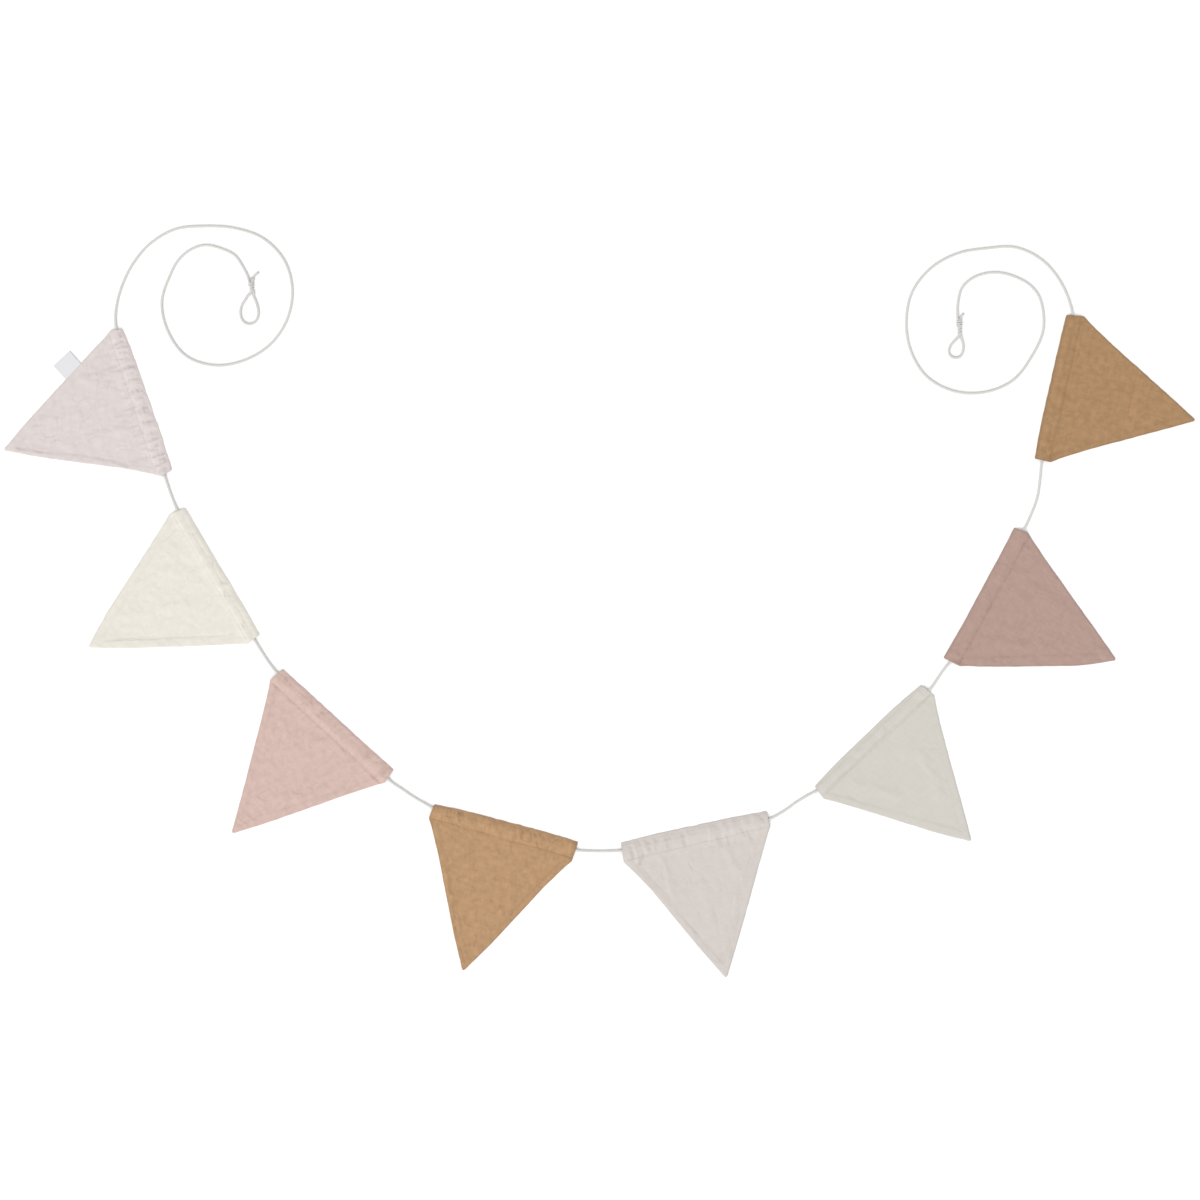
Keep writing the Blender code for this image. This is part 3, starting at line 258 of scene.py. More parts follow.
# Creases in the cloth, each a line of places (along, drop). half: half its width.
# rise: the height of the ridge, or the depth of the trough where negative.
CREASE_COLUMNS = ("line", "half", "rise")
CREASES = (
    ((((36, 52), (56, 18)), 9, 0.5), (((128, 18), (120, 48)), 6, -0.6),
     (((33, 20), (32, 46)), 3.4, -0.5), (((46, 24), (42, 44)), 2.4, -0.4),
     (((20, 18), (18, 34)), 3.0, -0.35), (((84, 18), (80, 34)), 2.6, -0.25),
     (((1, 2), (7, 3)), 3.0, -0.45), (((130, 2), (148, 3)), 3.4, -0.4),
     (((1, 14), (6, 21)), 2.8, -0.45), (((118, 8), (119, 14)), 1.6, 0.3),
     (((60, 112), (66, 70)), 8, 0.5), (((98, 30), (92, 70)), 9, 0.6),
     (((60, 17), (53, 26), (47, 36)), 2.6, -0.35), (((33, 18), (34, 40)), 2.4, -0.3),
     (((38, 16), (36, 26)), 1.8, -0.4), (((67, 17), (65, 23)), 1.4, -0.5),
     (((96, 17), (95, 24)), 1.5, -0.5), (((140, 17), (138, 21)), 1.4, -0.6),
     (((129, 19), (128, 34)), 2.4, -0.5), (((45, 30), (42, 44)), 2.0, 0.3),
     (((111, 38), (113, 56)), 2.2, 0.35), (((64, 106), (62, 117)), 2.2, -0.3),
     (((131, 40), (122, 52), (111.5, 70), (102, 90), (96, 104), (88, 120),
       (78, 138)), 2.2, -0.8)),
    ((((30, 30), (52, 62)), 9, 0.6), (((74, 70), (96, 34)), 9, 0.6),
     (((70, 128), (82, 104)), 6, -0.3), (((14, 17), (18, 34)), 2.2, -0.3),
     (((74, 60), (72, 69)), 2.4, -0.3), (((47, 40), (50, 56)), 3.0, 0.25),
     (((133, 20), (127, 36), (119, 50), (110, 66), (103, 80)), 1.7, -0.35),
     (((98, 90), (90, 104), (82, 118), (74, 135)), 2.4, -0.5)),
    ((((34, 40), (78, 52)), 9, 0.5), (((90, 96), (112, 60)), 8, 0.6),
     (((4, 17.5), (14, 17.8)), 1.4, -0.4), (((25, 18.2), (33, 18.4)), 1.4, -0.5),
     (((96, 19), (104, 19.6)), 1.4, -0.5), (((136, 19.4), (148, 19)), 1.4, -0.55),
     (((63, 129), (84, 129)), 1.8, -0.4), (((68, 139), (78, 138.6)), 1.7, -0.55),
     (((66, 133), (80, 133)), 1.8, 0.4), (((66, 134), (64, 136)), 1.5, -0.3),
     (((112, 38), (117, 44)), 2.4, -0.3), (((105, 70), (98, 84)), 3.0, -0.3)),
    ((((147.5, 1), (148, 17)), 4.5, -0.6), (((0, 1), (6, 3)), 3.6, -0.45),
     (((0, 13), (3, 20)), 3.2, -0.5), (((136, 15.4), (147, 16.6)), 1.6, -0.5),
     (((22, 48), (34, 74)), 4, 0.7), (((46, 96), (56, 112)), 4, 0.8),
     (((70, 70), (104, 52)), 10, 0.5), (((17, 38), (24, 51), (31, 65)), 2.8, -0.75),
     (((33, 69), (39, 81)), 2.2, -0.6), (((20, 40), (28, 50)), 1.5, -0.5),
     (((44, 92), (50, 104)), 2.6, -0.9), (((41, 66), (54, 69)), 1.6, -0.35),
     (((52, 112), (60, 128), (67, 138), (71, 146)), 1.7, -0.45),
     (((27, 19), (34, 21)), 2.2, -0.5), (((58, 39), (70, 38)), 1.7, -0.3),
     (((13, 22), (17, 33)), 2.0, -0.45), (((112, 18), (111, 26)), 1.6, -0.4),
     (((85, 24), (84, 34)), 2.0, 0.3), (((100, 56), (108, 52)), 2.6, -0.35),
     (((141, 20), (133, 28), (122, 49), (108, 75), (95, 101), (84, 124)), 1.8, -0.55)),
    ((((37, 22), (40, 72)), 6, 0.5), (((70, 60), (72, 100)), 10, 0.5),
     (((100, 24), (108, 52)), 7, 0.5), (((39, 26), (36, 42), (38, 58)), 1.9, 0.15),
     (((35, 30), (34, 42)), 1.9, -0.3), (((17, 28), (26, 46), (35, 60), (41, 74)), 2.6, -0.22),
     (((47, 88), (56, 106), (63, 120)), 2.4, -0.16), (((118, 24), (130, 28)), 2.4, -0.15),
     (((101, 92), (92, 112), (82, 134)), 1.8, -0.35),
     (((100, 76), (94, 92)), 3.0, 0.3), (((62, 33), (64, 39)), 2.0, -0.3),
     (((124, 40), (112, 62), (101, 82)), 2.2, -0.25)),
    ((((30, 26), (52, 60)), 9, 0.5), (((84, 92), (100, 50)), 9, 0.6),
     (((10, 9.4), (40, 10.6), (70, 10.2), (103, 10.0)), 1.5, -0.4),
     (((130, 12.6), (147, 12.4)), 1.4, -0.5), (((18, 28), (20, 35)), 2.2, -0.35),
     (((110, 52), (114, 55)), 2.2, -0.3), (((30, 36), (38, 40)), 2.4, -0.25)),
    ((((40, 40), (64, 96)), 10, 0.5), (((82, 132), (74, 142)), 5, 0.6),
     (((104, 46), (96, 88)), 9, 0.6), (((134, 15), (142, 14)), 1.6, -0.35),
     (((20, 62), (33, 66)), 2.0, -0.25), (((108, 50), (111, 70)), 2.4, -0.25),
     (((66, 98), (68, 112)), 2.6, -0.25), (((72, 134), (76, 142)), 1.8, -0.4)),
    ((((48, 84), (100, 86)), 5, 0.5), (((50, 94), (96, 94)), 4, 0.4),
     (((52, 34), (76, 60)), 9, 0.6), (((10, 17), (15, 30)), 2.2, -0.45),
     (((50, 85), (66, 84.4), (86, 85.2), (104, 84.6)), 1.4, -0.35),
     (((52, 93.4), (72, 94), (92, 93.6)), 1.4, -0.35), (((138, 16), (145, 17)), 1.8, -0.4),
     (((20, 41), (34, 38)), 1.8, -0.2), (((96, 70), (88, 78)), 2.4, -0.2)),
)

# The cord's own route where it lies free: places on the surface, with a height of 1
# inside a channel and 0 lying down. The left tail runs from its knot to the first
# pennant, and the right tail from the last pennant to its knot.
LEFT_TAIL = (
    (-351.6, 369.2, 0.3), (-355.3, 377.0, 0), (-364.5, 390.6, 0), (-377.8, 397.4, 0),
    (-394.5, 401.0, 0), (-409.4, 396.2, 0), (-420.8, 386.4, 0), (-428.6, 372.9, 0),
    (-437.8, 344.0, 0), (-431.5, 314.5, 0), (-413.3, 290.1, 0), (-384.6, 280.8, 0),
    (-354.8, 286.0, 0), (-329.0, 302.0, 0), (-312.3, 327.2, 0), (-307.3, 357.0, 0),
    (-315.5, 386.1, 0), (-336.5, 407.8, 0), (-364.8, 417.9, 0), (-394.8, 420.0, 0),
    (-424.9, 416.6, 0), (-450.9, 401.1, 0), (-469.5, 377.6, 0), (-481.0, 349.7, 0),
    (-484.2, 328.0, 0.6))
GAPS = (
    ((-434.4, 169.0, 0.9), (-428.9, 152.8, 0.2), (-423.4, 139.0, 0.9)),
    ((-344.4, 5.3, 0.9), (-335.5, -8.8, 0.3), (-327.3, -20.6, 0.9)),
    ((-209.0, -134.9, 0.9), (-196.9, -143.2, 0.1), (-183.6, -152.0, 0.1), (-170.7, -159.4, 0.9)),
    ((-20.5, -204.1, 0.9), (-5.1, -204.8, 0.2), (2.9, -204.8, 0.2), (18.9, -204.4, 0.9)),
    ((170.2, -172.4, 0.9), (183.9, -164.9, 0.1), (197.0, -155.6, 0.1), (210.6, -147.6, 0.9)),
    ((331.2, -42.0, 0.9), (338.4, -31.4, 0.4), (344.3, -23.0, 0.9)),
    ((425.6, 119.4, 0.9), (431.6, 132.5, 0), (437.1, 147.5, 0), (439.8, 163.4, 0),
     (441.3, 180.0, 0.9)),
)
RIGHT_TAIL = (
    (472.3, 334.6, 0.8), (462.6, 361.2, 0), (443.9, 384.8, 0), (416.9, 398.5, 0),
    (386.5, 397.8, 0), (357.0, 392.4, 0), (330.6, 377.5, 0), (312.2, 353.5, 0),
    (306.5, 323.6, 0), (311.6, 293.9, 0), (328.0, 268.7, 0), (355.0, 254.9, 0),
    (385.1, 254.0, 0), (413.0, 265.8, 0), (431.9, 289.7, 0), (443.6, 317.4, 0),
    (440.3, 347.4, 0), (431.0, 360.4, 0), (418.0, 368.2, 0), (403.0, 373.0, 0),
    (388.0, 373.2, 0), (372.6, 368.0, 0), (361.9, 357.6, 0), (358.0, 341.6, 0.1),
    (357.7, 333.0, 0.4))
LEFT_LOOP = (
    (-351.7, 350.6, 0.3), (-354.6, 345.9, 0), (-358.1, 339.9, 0),
    (-359.1, 332.9, 0), (-357.6, 326.9, 0), (-354.6, 323.4, 0), (-350.1, 322.2, 0),
    (-345.3, 323.7, 0), (-342.1, 327.9, 0), (-341.1, 333.9, 0), (-342.1, 339.9, 0),
    (-344.1, 345.9, 0), (-345.9, 350.4, 0.3))
RIGHT_LOOP = (
    (356.8, 307.4, 0.3), (352.9, 303.2, 0), (350.0, 298.9, 0),
    (349.2, 293.9, 0), (351.2, 289.9, 0), (355.6, 288.4, 0), (360.2, 289.7, 0),
    (362.9, 293.9, 0), (363.7, 298.9, 0), (363.0, 303.9, 0), (362.0, 307.0, 0.3))
LEFT_CUT_END = ((-346.6, 367.8, 0.4), (-344.6, 370.8, 0.1), (-341.3, 373.4, 0))
RIGHT_CUT_END = ((361.6, 329.8, 0.3), (363.4, 332.2, 0))

# The knots. x, y, heading: the middle of the upper face, and the way down to the
# loop in degrees. length: from the upper face to the lower. half_turns: of the two
# strands round each other. wraps: where the binding turns start, where they end, and
# how many there are. lump: how far out along the cut end its own small knot sits.
KNOT_COLUMNS = ("x", "y", "heading", "length", "half_turns", "wraps", "lump")
KNOTS = {
    "left": (-348.9, 363.9, -81.0, 9.2, 3, (1.2, 4.6, 1.6), 1.9),
    "right": (359.3, 326.9, -87.5, 16.0, 5, (0.9, 7.6, 3.0), None),
}
STRAND_R = 1.05         # radius of the cord where a knot squeezes it
STRAND_APART = 1.4      # how far each strand lies from the knot's middle at its faces
TWIST_R = 1.05          # how far it lies from the middle inside the knot
WRAP_R = 0.78           # radius of the cord in the binding turns
KNOT_Z = 2.35           # height of the knots' middle
STRAND_HEIGHT = 0.75

# The folded tab in the first side seam: its corners at the seam as fractions of the
# side, its corners at its outer fold, and its section from the seam to that fold.
LABEL_SEAM = (0.275, 0.412)
LABEL_FOLD = ((3.4, 57.6), (12.4, 78.0))
LABEL_TAPE = 0.24       # the tape's thickness
LABEL_CURL = 0.10       # how far its upper half waves across the width
LABEL_SECTION = (
    (-0.06, 0.66), (0.06, 0.62), (0.2, 0.44), (0.45, 0.30), (0.75, 0.26), (0.93, 0.32),
    (0.985, 0.46), (1.0, 0.66), (0.985, 0.88), (0.93, 1.04), (0.75, 1.22), (0.45, 1.34),
    (0.2, 1.22), (0.06, 0.98), (-0.06, 0.88))

# How finely the cloth is made
EDGE_STEPS = (0.0, 0.04, 0.14, 0.32, 0.6, 1.0, 1.5, 2.2, 3.0, 4.0, 5.2, 6.4, 7.4, 8.4)
INNER_COLUMNS = 148
UNDER_STRIDE = 4        # the under side keeps one inner column in so many
CASING_STEP = 0.75
NEAR_STEP = 0.85
FIELD_STEP = 1.2
NEAR_REACH = 12.0       # how far past the shoulders the rows stay close together
TIP_STEPS = (3.4, 2.6, 1.9, 1.3, 0.85, 0.5, 0.24, 0.07, 0.0)

# Thread
STITCH = 2.3
STITCH_GAP = 0.65
STITCH_START = 1.6      # how far in from the channel's ends the row starts
STITCH_SIDES = 6
THREAD_R = 0.2
BACK_TACK = 7.0         # how far the closer stitches reach in from each end
TACK_STEP = 0.62        # how much closer they lie there, as a share of a stitch
TACK_GAP = 0.4          # and of the gap after it
# A stitch from end to end: the share of its length, its thickness as a share of the
# thread's, and its height over the cloth.
STITCH_RUN = (0.0, 0.1, 0.3, 0.7, 0.9, 1.0)
STITCH_WIDTH = (0.5, 0.9, 1.0, 1.0, 0.9, 0.5)
STITCH_ARCH = (-0.2, 0.1, 0.26, 0.26, 0.1, -0.2)
STITCH_WANDER = 0.1     # how far every second stitch lies out of line

# Colours as the eye reads them, from 0 to 255
LINEN_COLOURS = {
    "linen_greige": (222.1, 212.0, 209.1),
    "linen_cream": (232.8, 228.6, 218.3),
    "linen_blush": (212.8, 185.7, 176.2),
    "linen_camel": (187.1, 149.4, 112.1),
    "linen_lilac_grey": (213.2, 205.1, 199.7),
    "linen_sage_grey": (211.3, 207.5, 199.5),
    "linen_dusty_rose": (182.3, 153.8, 142.9),
    "linen_dark_camel": (174.3, 137.8, 100.1),
}
CORD_COLOUR = (217, 215, 211.5)
TAPE_COLOUR = (226, 225, 228)
FLOOR_COLOUR = (247, 247, 247)

# Finishes. settings: the pattern's own values. bump: its strength, and its depth in
# metres. roughness, sheen: the shader's.
FINISH_COLUMNS = ("settings", "bump", "roughness", "sheen")
FINISHES = {
    "linen": ({}, (0.5, 0.00018), 0.92, 0.12),
    "thread": ({"Pitch": 0.0006, "Fibre": 0.1}, (0.3, 0.00004), 0.7, 0.05),
    "cord": ({"Pitch": PLAIT_PITCH * MM, "Fibre": 0.12}, (0.6, 0.00012), 0.85, 0.1),
    "tape": ({"Pitch": 0.00026, "Streaks": 0.02, "Mottle": 0.02}, (0.4, 0.00006), 0.6, 0.05),
}
EXPOSURE = 1.14         # how much brighter than its own colour a flat face shows

# Camera and lights, in metres
VIEW_WIDTH = 1.2
LENS_MM = 100.0
SENSOR_MM = 36.0
VIEW_CENTRE = (0.00035, 0.04635)
SKY = 0.796
KEY_PLACE = (-4.9, -8.5, 15.1)
KEY_SIZE = 12.0
KEY_POWER = 1890.0


def row_of(columns, values):
    """One row of a table, readable by its column names."""
    return dict(zip(columns, values))


def smoothstep(t):
    """0 below 0, 1 above 1, and 3t^2 - 2t^3 between them."""
    t = np.clip(t, 0.0, 1.0)
    return t * t * (3 - 2 * t)


def roll(t):
    """A quarter of a round edge: the square root of 1 - (1 - t)^2, up to t = 1."""
    return np.sqrt(1 - (1 - np.clip(t, 0.0, 1.0)) ** 2)


def soft_noise(seed, x, y, size):
    """Smooth unevenness about 0, as a sum of sixteen waves of about that length.

    Each wave is the cosine of a sloping line's distance, with its own direction,
    length and start, and the sum is scaled to stay mostly within 1 either way.
    """
    rng = np.random.default_rng(seed)
    count = 16
    angle = rng.uniform(0, math.tau, count)
    length = size * rng.uniform(0.6, 1.7, count)
    start = rng.uniform(0, math.tau, count)
    total = np.zeros(np.broadcast(x, y).shape)
    for a, l, s in zip(angle, length, start):
        total = total + np.cos(math.tau * (x * math.cos(a) + y * math.sin(a)) / l + s)
    return total / math.sqrt(count) * 0.75


def crease_noise(seed, x, y, size):
    """Short narrow creases: 1 along the lines where one soft noise passes through 0,
    falling away to both sides, and only where a second, wider noise is high."""
    line = np.exp(-(soft_noise(seed, x, y, size) / 0.13) ** 2)
    return line * smoothstep(soft_noise(seed + 1000, x, y, 1.5 * size) / 0.5)


def line_distance(line, x, y):
    """Distance from every place to the nearest place on a line of straight legs."""
    nearest = np.full(np.broadcast(x, y).shape, np.inf)
    for (x0, y0), (x1, y1) in zip(line, line[1:]):
        dx, dy = x1 - x0, y1 - y0
        t = np.clip(((x - x0) * dx + (y - y0) * dy) / (dx * dx + dy * dy), 0, 1)
        nearest = np.minimum(nearest, np.hypot(x - x0 - dx * t, y - y0 - dy * t))
    return nearest


# Meshes

def mesh_object(name, verts, faces, uvs=None, masks=None):
    """An object at the origin from places in millimetres and arrays of faces.

    faces is a list of arrays of corner indices, each with 3 or 4 columns. uvs is a
    list of arrays like them, with two numbers for each corner. masks gives each
    vertex named values. Vertices that no face uses are left out.
    """
    used, where = np.unique(np.concatenate([f.ravel() for f in faces]), return_inverse=True)
    mesh = bpy.data.meshes.new(name)
    mesh.vertices.add(len(used))
    mesh.vertices.foreach_set("co", (np.asarray(verts)[used] * MM).astype(np.float32).ravel())
    mesh.loops.add(len(where))
    mesh.loops.foreach_set("vertex_index", where.astype(np.int32).ravel())
    counts = np.concatenate([np.full(len(f), f.shape[1]) for f in faces])
    starts = np.concatenate([[0], np.cumsum(counts)[:-1]])
    mesh.polygons.add(len(counts))
    mesh.polygons.foreach_set("loop_start", starts.astype(np.int32))
    mesh.polygons.foreach_set("use_smooth", np.ones(len(counts), dtype=bool))
    if uvs is not None:
        layer = mesh.uv_layers.new(name="UVMap")
        flat = np.concatenate([u.reshape(-1, 2) for u in uvs])
        layer.uv.foreach_set("vector", flat.astype(np.float32).ravel())
    for label, values in (masks or {}).items():
        attribute = mesh.attributes.new(label, "FLOAT", "POINT")
        attribute.data.foreach_set("value", np.asarray(values)[used].astype(np.float32))
    mesh.update(calc_edges=True)
    mesh.validate()
    thing = bpy.data.objects.new(name, mesh)
    bpy.context.scene.collection.objects.link(thing)
    return thing


def grid_quads(index, flip=False):
    """The four corners of every cell of a grid of vertex numbers, row by row."""
    a, b = index[:-1, :-1], index[1:, :-1]
    c, d = index[1:, 1:], index[:-1, 1:]
    corners = (a, d, c, b) if flip else (a, b, c, d)
    return np.stack([k.ravel() for k in corners], axis=1)


def tube(line, radius, sides, relief=None, reference=(0, 0, 1)):
    """A round tube along a line: a ring of corners about each of its places.

    A ring lies square to the line. Its first corner is where the line's direction
    crosses the reference direction. relief(turn, distance) is added to the radius.
    The ends are closed by fans. It gives vertices, faces and their UVs, in metres
    along the line.
    """
    line = np.asarray(line, dtype=float)
    radius = np.broadcast_to(np.asarray(radius, dtype=float), len(line))
    ahead = np.gradient(line, axis=0)
    ahead /= np.linalg.norm(ahead, axis=1, keepdims=True)
    side = np.cross(ahead, np.asarray(reference, dtype=float))
    side /= np.linalg.norm(side, axis=1, keepdims=True)
    up = np.cross(side, ahead)
    leg = np.linalg.norm(np.diff(line, axis=0), axis=1)
    distance = np.concatenate([[0.0], np.cumsum(leg)])
    turn = math.tau * np.arange(sides) / sides
    out = radius[:, None] + (relief(turn[None, :], distance[:, None]) if relief else 0.0)
    cos, sin = np.cos(turn)[None, :, None], np.sin(turn)[None, :, None]
    ring = side[:, None, :] * cos + up[:, None, :] * sin
    verts = line[:, None, :] + ring * out[..., None]
    verts = np.concatenate([verts.reshape(-1, 3), line[:1], line[-1:]])
    rings = np.arange(len(line) * sides).reshape(len(line), sides)
    index = np.concatenate([rings, rings[:, :1]], axis=1)
    around = np.arange(sides + 1) / sides
    spot = np.stack(np.broadcast_arrays(around[None, :], distance[:, None] * MM), axis=-1)
    cells = [spot[:-1, :-1], spot[1:, :-1], spot[1:, 1:], spot[:-1, 1:]]
    quads = grid_quads(index)
    quad_uvs = np.stack([c.reshape(-1, 2) for c in cells], axis=1)
    first, last = len(line) * sides, len(line) * sides + 1
    start_fan = np.stack([np.full(sides, first), index[0, :-1], index[0, 1:]], axis=1)
    end_fan = np.stack([np.full(sides, last), index[-1, 1:], index[-1, :-1]], axis=1)
    fans = np.concatenate([start_fan, end_fan])
    fan_uvs = np.zeros((len(fans), 3, 2))
    return verts, [quads, fans], [quad_uvs, fan_uvs]


def joined(parts):
    """Several (vertices, faces, UVs) made one, the later ones numbered on."""
    verts, faces, uvs = [], [], []
    count = 0
    for part_verts, part_faces, part_uvs in parts:
        verts.append(part_verts)
        faces += [f + count for f in part_faces]
        uvs += part_uvs
        count += len(part_verts)
    return np.concatenate(verts), faces, uvs


# Pennant shapes

class Cloth:
    """One pennant's outline and heights, in its own frame and in millimetres."""

    def __init__(self, number):
        self.number = number
        self.row = row_of(PENNANT_COLUMNS, PENNANTS[number - 1])
        self.bows = row_of(BOW_COLUMNS, BOWS[number - 1])
        self.channel = row_of(CHANNEL_COLUMNS, CHANNELS[number - 1])
        self.look = row_of(LOOK_COLUMNS, LOOKS[number - 1])
        self.fold = self.row["fold"]
        self.tip = np.array((self.row["tip_along"], self.row["tip_drop"]))
        self.shoulders = {
            "start": np.array((-self.row["start_flare"], self.row["start_depth"])),
            "end": np.array((self.fold + self.row["end_flare"], self.row["end_depth"])),
        }
        self.fine_puckers = self.gathers()

    def gathers(self):
        """Fine puckers between the listed ones, from a seed, a row for each."""
        rng = np.random.default_rng(100 + self.number)
        along = np.cumsum(rng.uniform(3.0, 6.5, 60))
        along = along[along < self.fold - 3]
        count = len(along)
        deep = rng.uniform(4.0, 15.0, count) * (0.7 + 0.5 * self.channel["gather"])
        return np.stack([along, rng.uniform(0.9, 1.9, count), rng.uniform(-2.5, 2.5, count),
                         rng.uniform(-0.35, 0.3, count), deep], axis=1)

    def bow(self, edge, t):
        """How far an edge stands out at t from 0 to 1, eased through its values."""
        row = self.bows[edge]
        start, first, second, end = row if len(row) == 4 else (0.0, *row, 0.0)
        stops = (0.0, 0.12, 0.25, 0.75, 0.88, 1.0)
        values = (start, 0.38 * start + 0.62 * first, first, second,
                  0.38 * end + 0.62 * second, end)
        fine = np.linspace(-0.1, 1.1, 121)
        line = np.convolve(np.interp(fine, stops, values), np.ones(11) / 11, "same")
        line -= np.interp(fine, (0.0, 1.0), (line[10] - start, line[-11] - end))
        return np.interp(t, fine, line)

    def mouth(self, side, t):
        """Places on the channel's mouth, from the base (0) to the shoulder (1)."""
        base = np.array((0.0 if side == "start" else self.fold, 0.0))
        t = np.asarray(t)[..., None]
        return base + (self.shoulders[side] - base) * t

    def seam(self, side, t):
        """Places on a side seam, from the shoulder (0) to the tip (1)."""
        shoulder = self.shoulders[side]
        run = self.tip - shoulder
        out = np.array((-run[1], run[0])) / np.hypot(*run)
        lean = -TIP_HALF
        if side == "end":
            out, lean = -out, TIP_HALF
        target = self.tip + np.array((lean, 0.0))
        t = np.asarray(t)
        stand = self.bow(side + "_side", t) - SEAM_INSET * smoothstep(t / 0.06)
        stand = stand + 0.12 * soft_noise(600 + self.number, t * 140.0, 0.0 * t, 13.0)
        return shoulder + (target - shoulder) * t[..., None] + out * stand[..., None]

    def inset(self, side, along, drop):
        """Distance in from the straight line of a side seam."""
        shoulder = self.shoulders[side]
        run = (self.tip - shoulder) / np.hypot(*(self.tip - shoulder))
        across = (along - shoulder[0]) * run[1] - (drop - shoulder[1]) * run[0]
        return across if side == "start" else -across

    def stitch_drop(self, along):
        """How far the channel's stitch line lies from the base."""
        first, last = self.channel["stitch_start"], self.channel["stitch_end"]
        wander = 0.3 * soft_noise(300 + self.number, along, np.zeros_like(along), 40.0)
        return first + (last - first) * along / self.fold + wander

    def cord_drop(self, along):
        """How far the cord lies from the base."""
        first, last = self.channel["cord_start"], self.channel["cord_end"]
        return first + (last - first) * along / self.fold

    def allowance(self, along, drop):
        """1 over the turned seam allowances and 0 between them, with soft edges."""
        wander = 0.8 * soft_noise(400 + self.number, along, drop, 34.0)
        inset = np.minimum(self.inset("start", along, drop), self.inset("end", along, drop))
        return smoothstep((ALLOWANCE + 1.0 + wander - inset) / ALLOWANCE_RAMP)

    def hump(self, along, drop):
        """How far the cloth stands up over the cord.

        It follows its row of HUMPS, read at the share of the way to the stitch line.
        The row is drawn as straight legs and each place takes the mean of the legs
        about it, which rounds their corners.
        """
        share = drop / self.stitch_drop(along)
        fine = np.linspace(0, 1.5, 151)
        heights = np.interp(fine, HUMP_STOPS, HUMPS[self.number - 1])
        heights = np.convolve(np.pad(heights, 6, mode="edge"), np.ones(13) / 13, "valid")
        uneven = 1 + 0.12 * soft_noise(660 + self.number, along, 0.0 * along, 23.0)
        return np.interp(share, fine, heights) * uneven

    def folds(self, along, drop, widest=99.0):
        """Height of the small folds: a bell for each pucker and pleat, a smooth ridge or
        trough of uneven depth along each crease up to the widest, and short creases."""
        seed = self.number * 10
        stitch = self.stitch_drop(along)
        z = np.zeros(np.broadcast(along, drop).shape)
        for values in PUCKERS[self.number - 1]:
            p = row_of(PUCKER_COLUMNS, values)
            across = (along - p["along"] - p["slant"] * drop / p["deep"]) / p["half"]
            fade = smoothstep((p["deep"] - drop) / (0.4 * p["deep"]))
            z = z + PUCKER_DEPTH * p["rise"] * np.exp(-1.6 * across ** 2) * fade
        for values in PLEATS[self.number - 1]:
            p = row_of(PLEAT_COLUMNS, values)
            run = (drop - p["drop_1"]) / (p["drop_2"] - p["drop_1"])
            across = (along - p["along"] - p["slant"] * run) / (PLEAT_WIDTH * p["half"])
            fade = smoothstep((run + 0.25) / 0.35) * smoothstep((1.25 - run) / 0.35)
            z = z + PLEAT_DEPTH * p["rise"] * np.exp(-across ** 2) * fade
        for where, half, slant, rise, deep in self.fine_puckers:
            across = (along - where - slant * (drop - stitch) / deep) / half
            fade = smoothstep((stitch + deep - drop) / deep) * smoothstep(drop / 3.0)
            z = z + self.channel["gather"] * rise * np.exp(-across ** 2) * fade
        uneven = CREASE_DEPTH * (0.75 + 0.45 * soft_noise(seed + 9, along, drop, 14.0))
        for values in CREASES[self.number - 1]:
            c = row_of(CREASE_COLUMNS, values)
            if c["half"] > widest:
                continue
            away = line_distance(c["line"], along, drop) / c["half"]
            z = z + uneven * c["rise"] * (1 - smoothstep(away))
        return z - 0.20 * self.look["crumple"] * crease_noise(seed + 6, along, drop, 17.0)

    def upper(self, along, drop):
        """Height of the upper cloth away from its edges.

        The flat cloth, plus the hump over the cord, the small folds, a groove at the
        stitch line, the turned hems, the allowances, the tip and soft unevenness. It
        stays above the cord and above the least height of the face.
        """
        seed = self.number * 10
        stitch = self.stitch_drop(along)
        in_channel = smoothstep((stitch - drop) / CHANNEL_RAMP)
        z = CLOTH + self.hump(along, drop) + self.folds(along, drop)
        pulled = 1 + 0.5 * soft_noise(seed + 7, along, 0.0 * drop, 19.0)
        z = z - self.channel["dip"] * pulled * np.exp(-((drop - stitch) / STITCH_REACH) ** 2)
        from_mouth = np.minimum(along, self.fold - along)
        hem = smoothstep((MOUTH_HEM - from_mouth) / MOUTH_HEM_RAMP)
        z = z + MOUTH_HEM_RISE * hem * in_channel
        pressed = 0.7 + 0.5 * soft_noise(seed + 5, along, drop, 30.0)
        z = z + ALLOWANCE_RISE * pressed * self.allowance(along, drop) * (1 - in_channel)
        z = z + TIP_RISE * smoothstep((drop - self.tip[1] + TIP_BUNCH) / TIP_RAMP)
        z = z + 0.25 * soft_noise(seed + 1, along, drop, 42.0)
        for values in CRUMPLES:
            c = row_of(CRUMPLE_COLUMNS, values)
            noise = soft_noise(seed + c["turn"], along, drop, c["size"])
            z = z + c["height"] * self.look["crumple"] * noise
        cover = CHANNEL_Z + CORD_R + OVER_CORD - (drop - self.cord_drop(along)) ** 2 / 4
        z = COVER_BLEND * np.logaddexp(z / COVER_BLEND, cover / COVER_BLEND)
        return np.maximum(z, LEAST_FACE)

    def lower(self, along, drop):
        """Height of the under cloth: on the surface, lifted a little where it wrinkles."""
        stitch = self.stitch_drop(along)
        z = 0.16 + 0.14 * soft_noise(self.number * 10 + 4, along, drop, 34.0)
        z = z + 0.28 * np.exp(-((drop - stitch) / STITCH_REACH) ** 2)
        near_cord = np.exp(-((drop - self.cord_drop(along)) / HUMP_REACH) ** 2)
        return np.clip(z * (1 - near_cord), 0.0, MOST_LIFT)

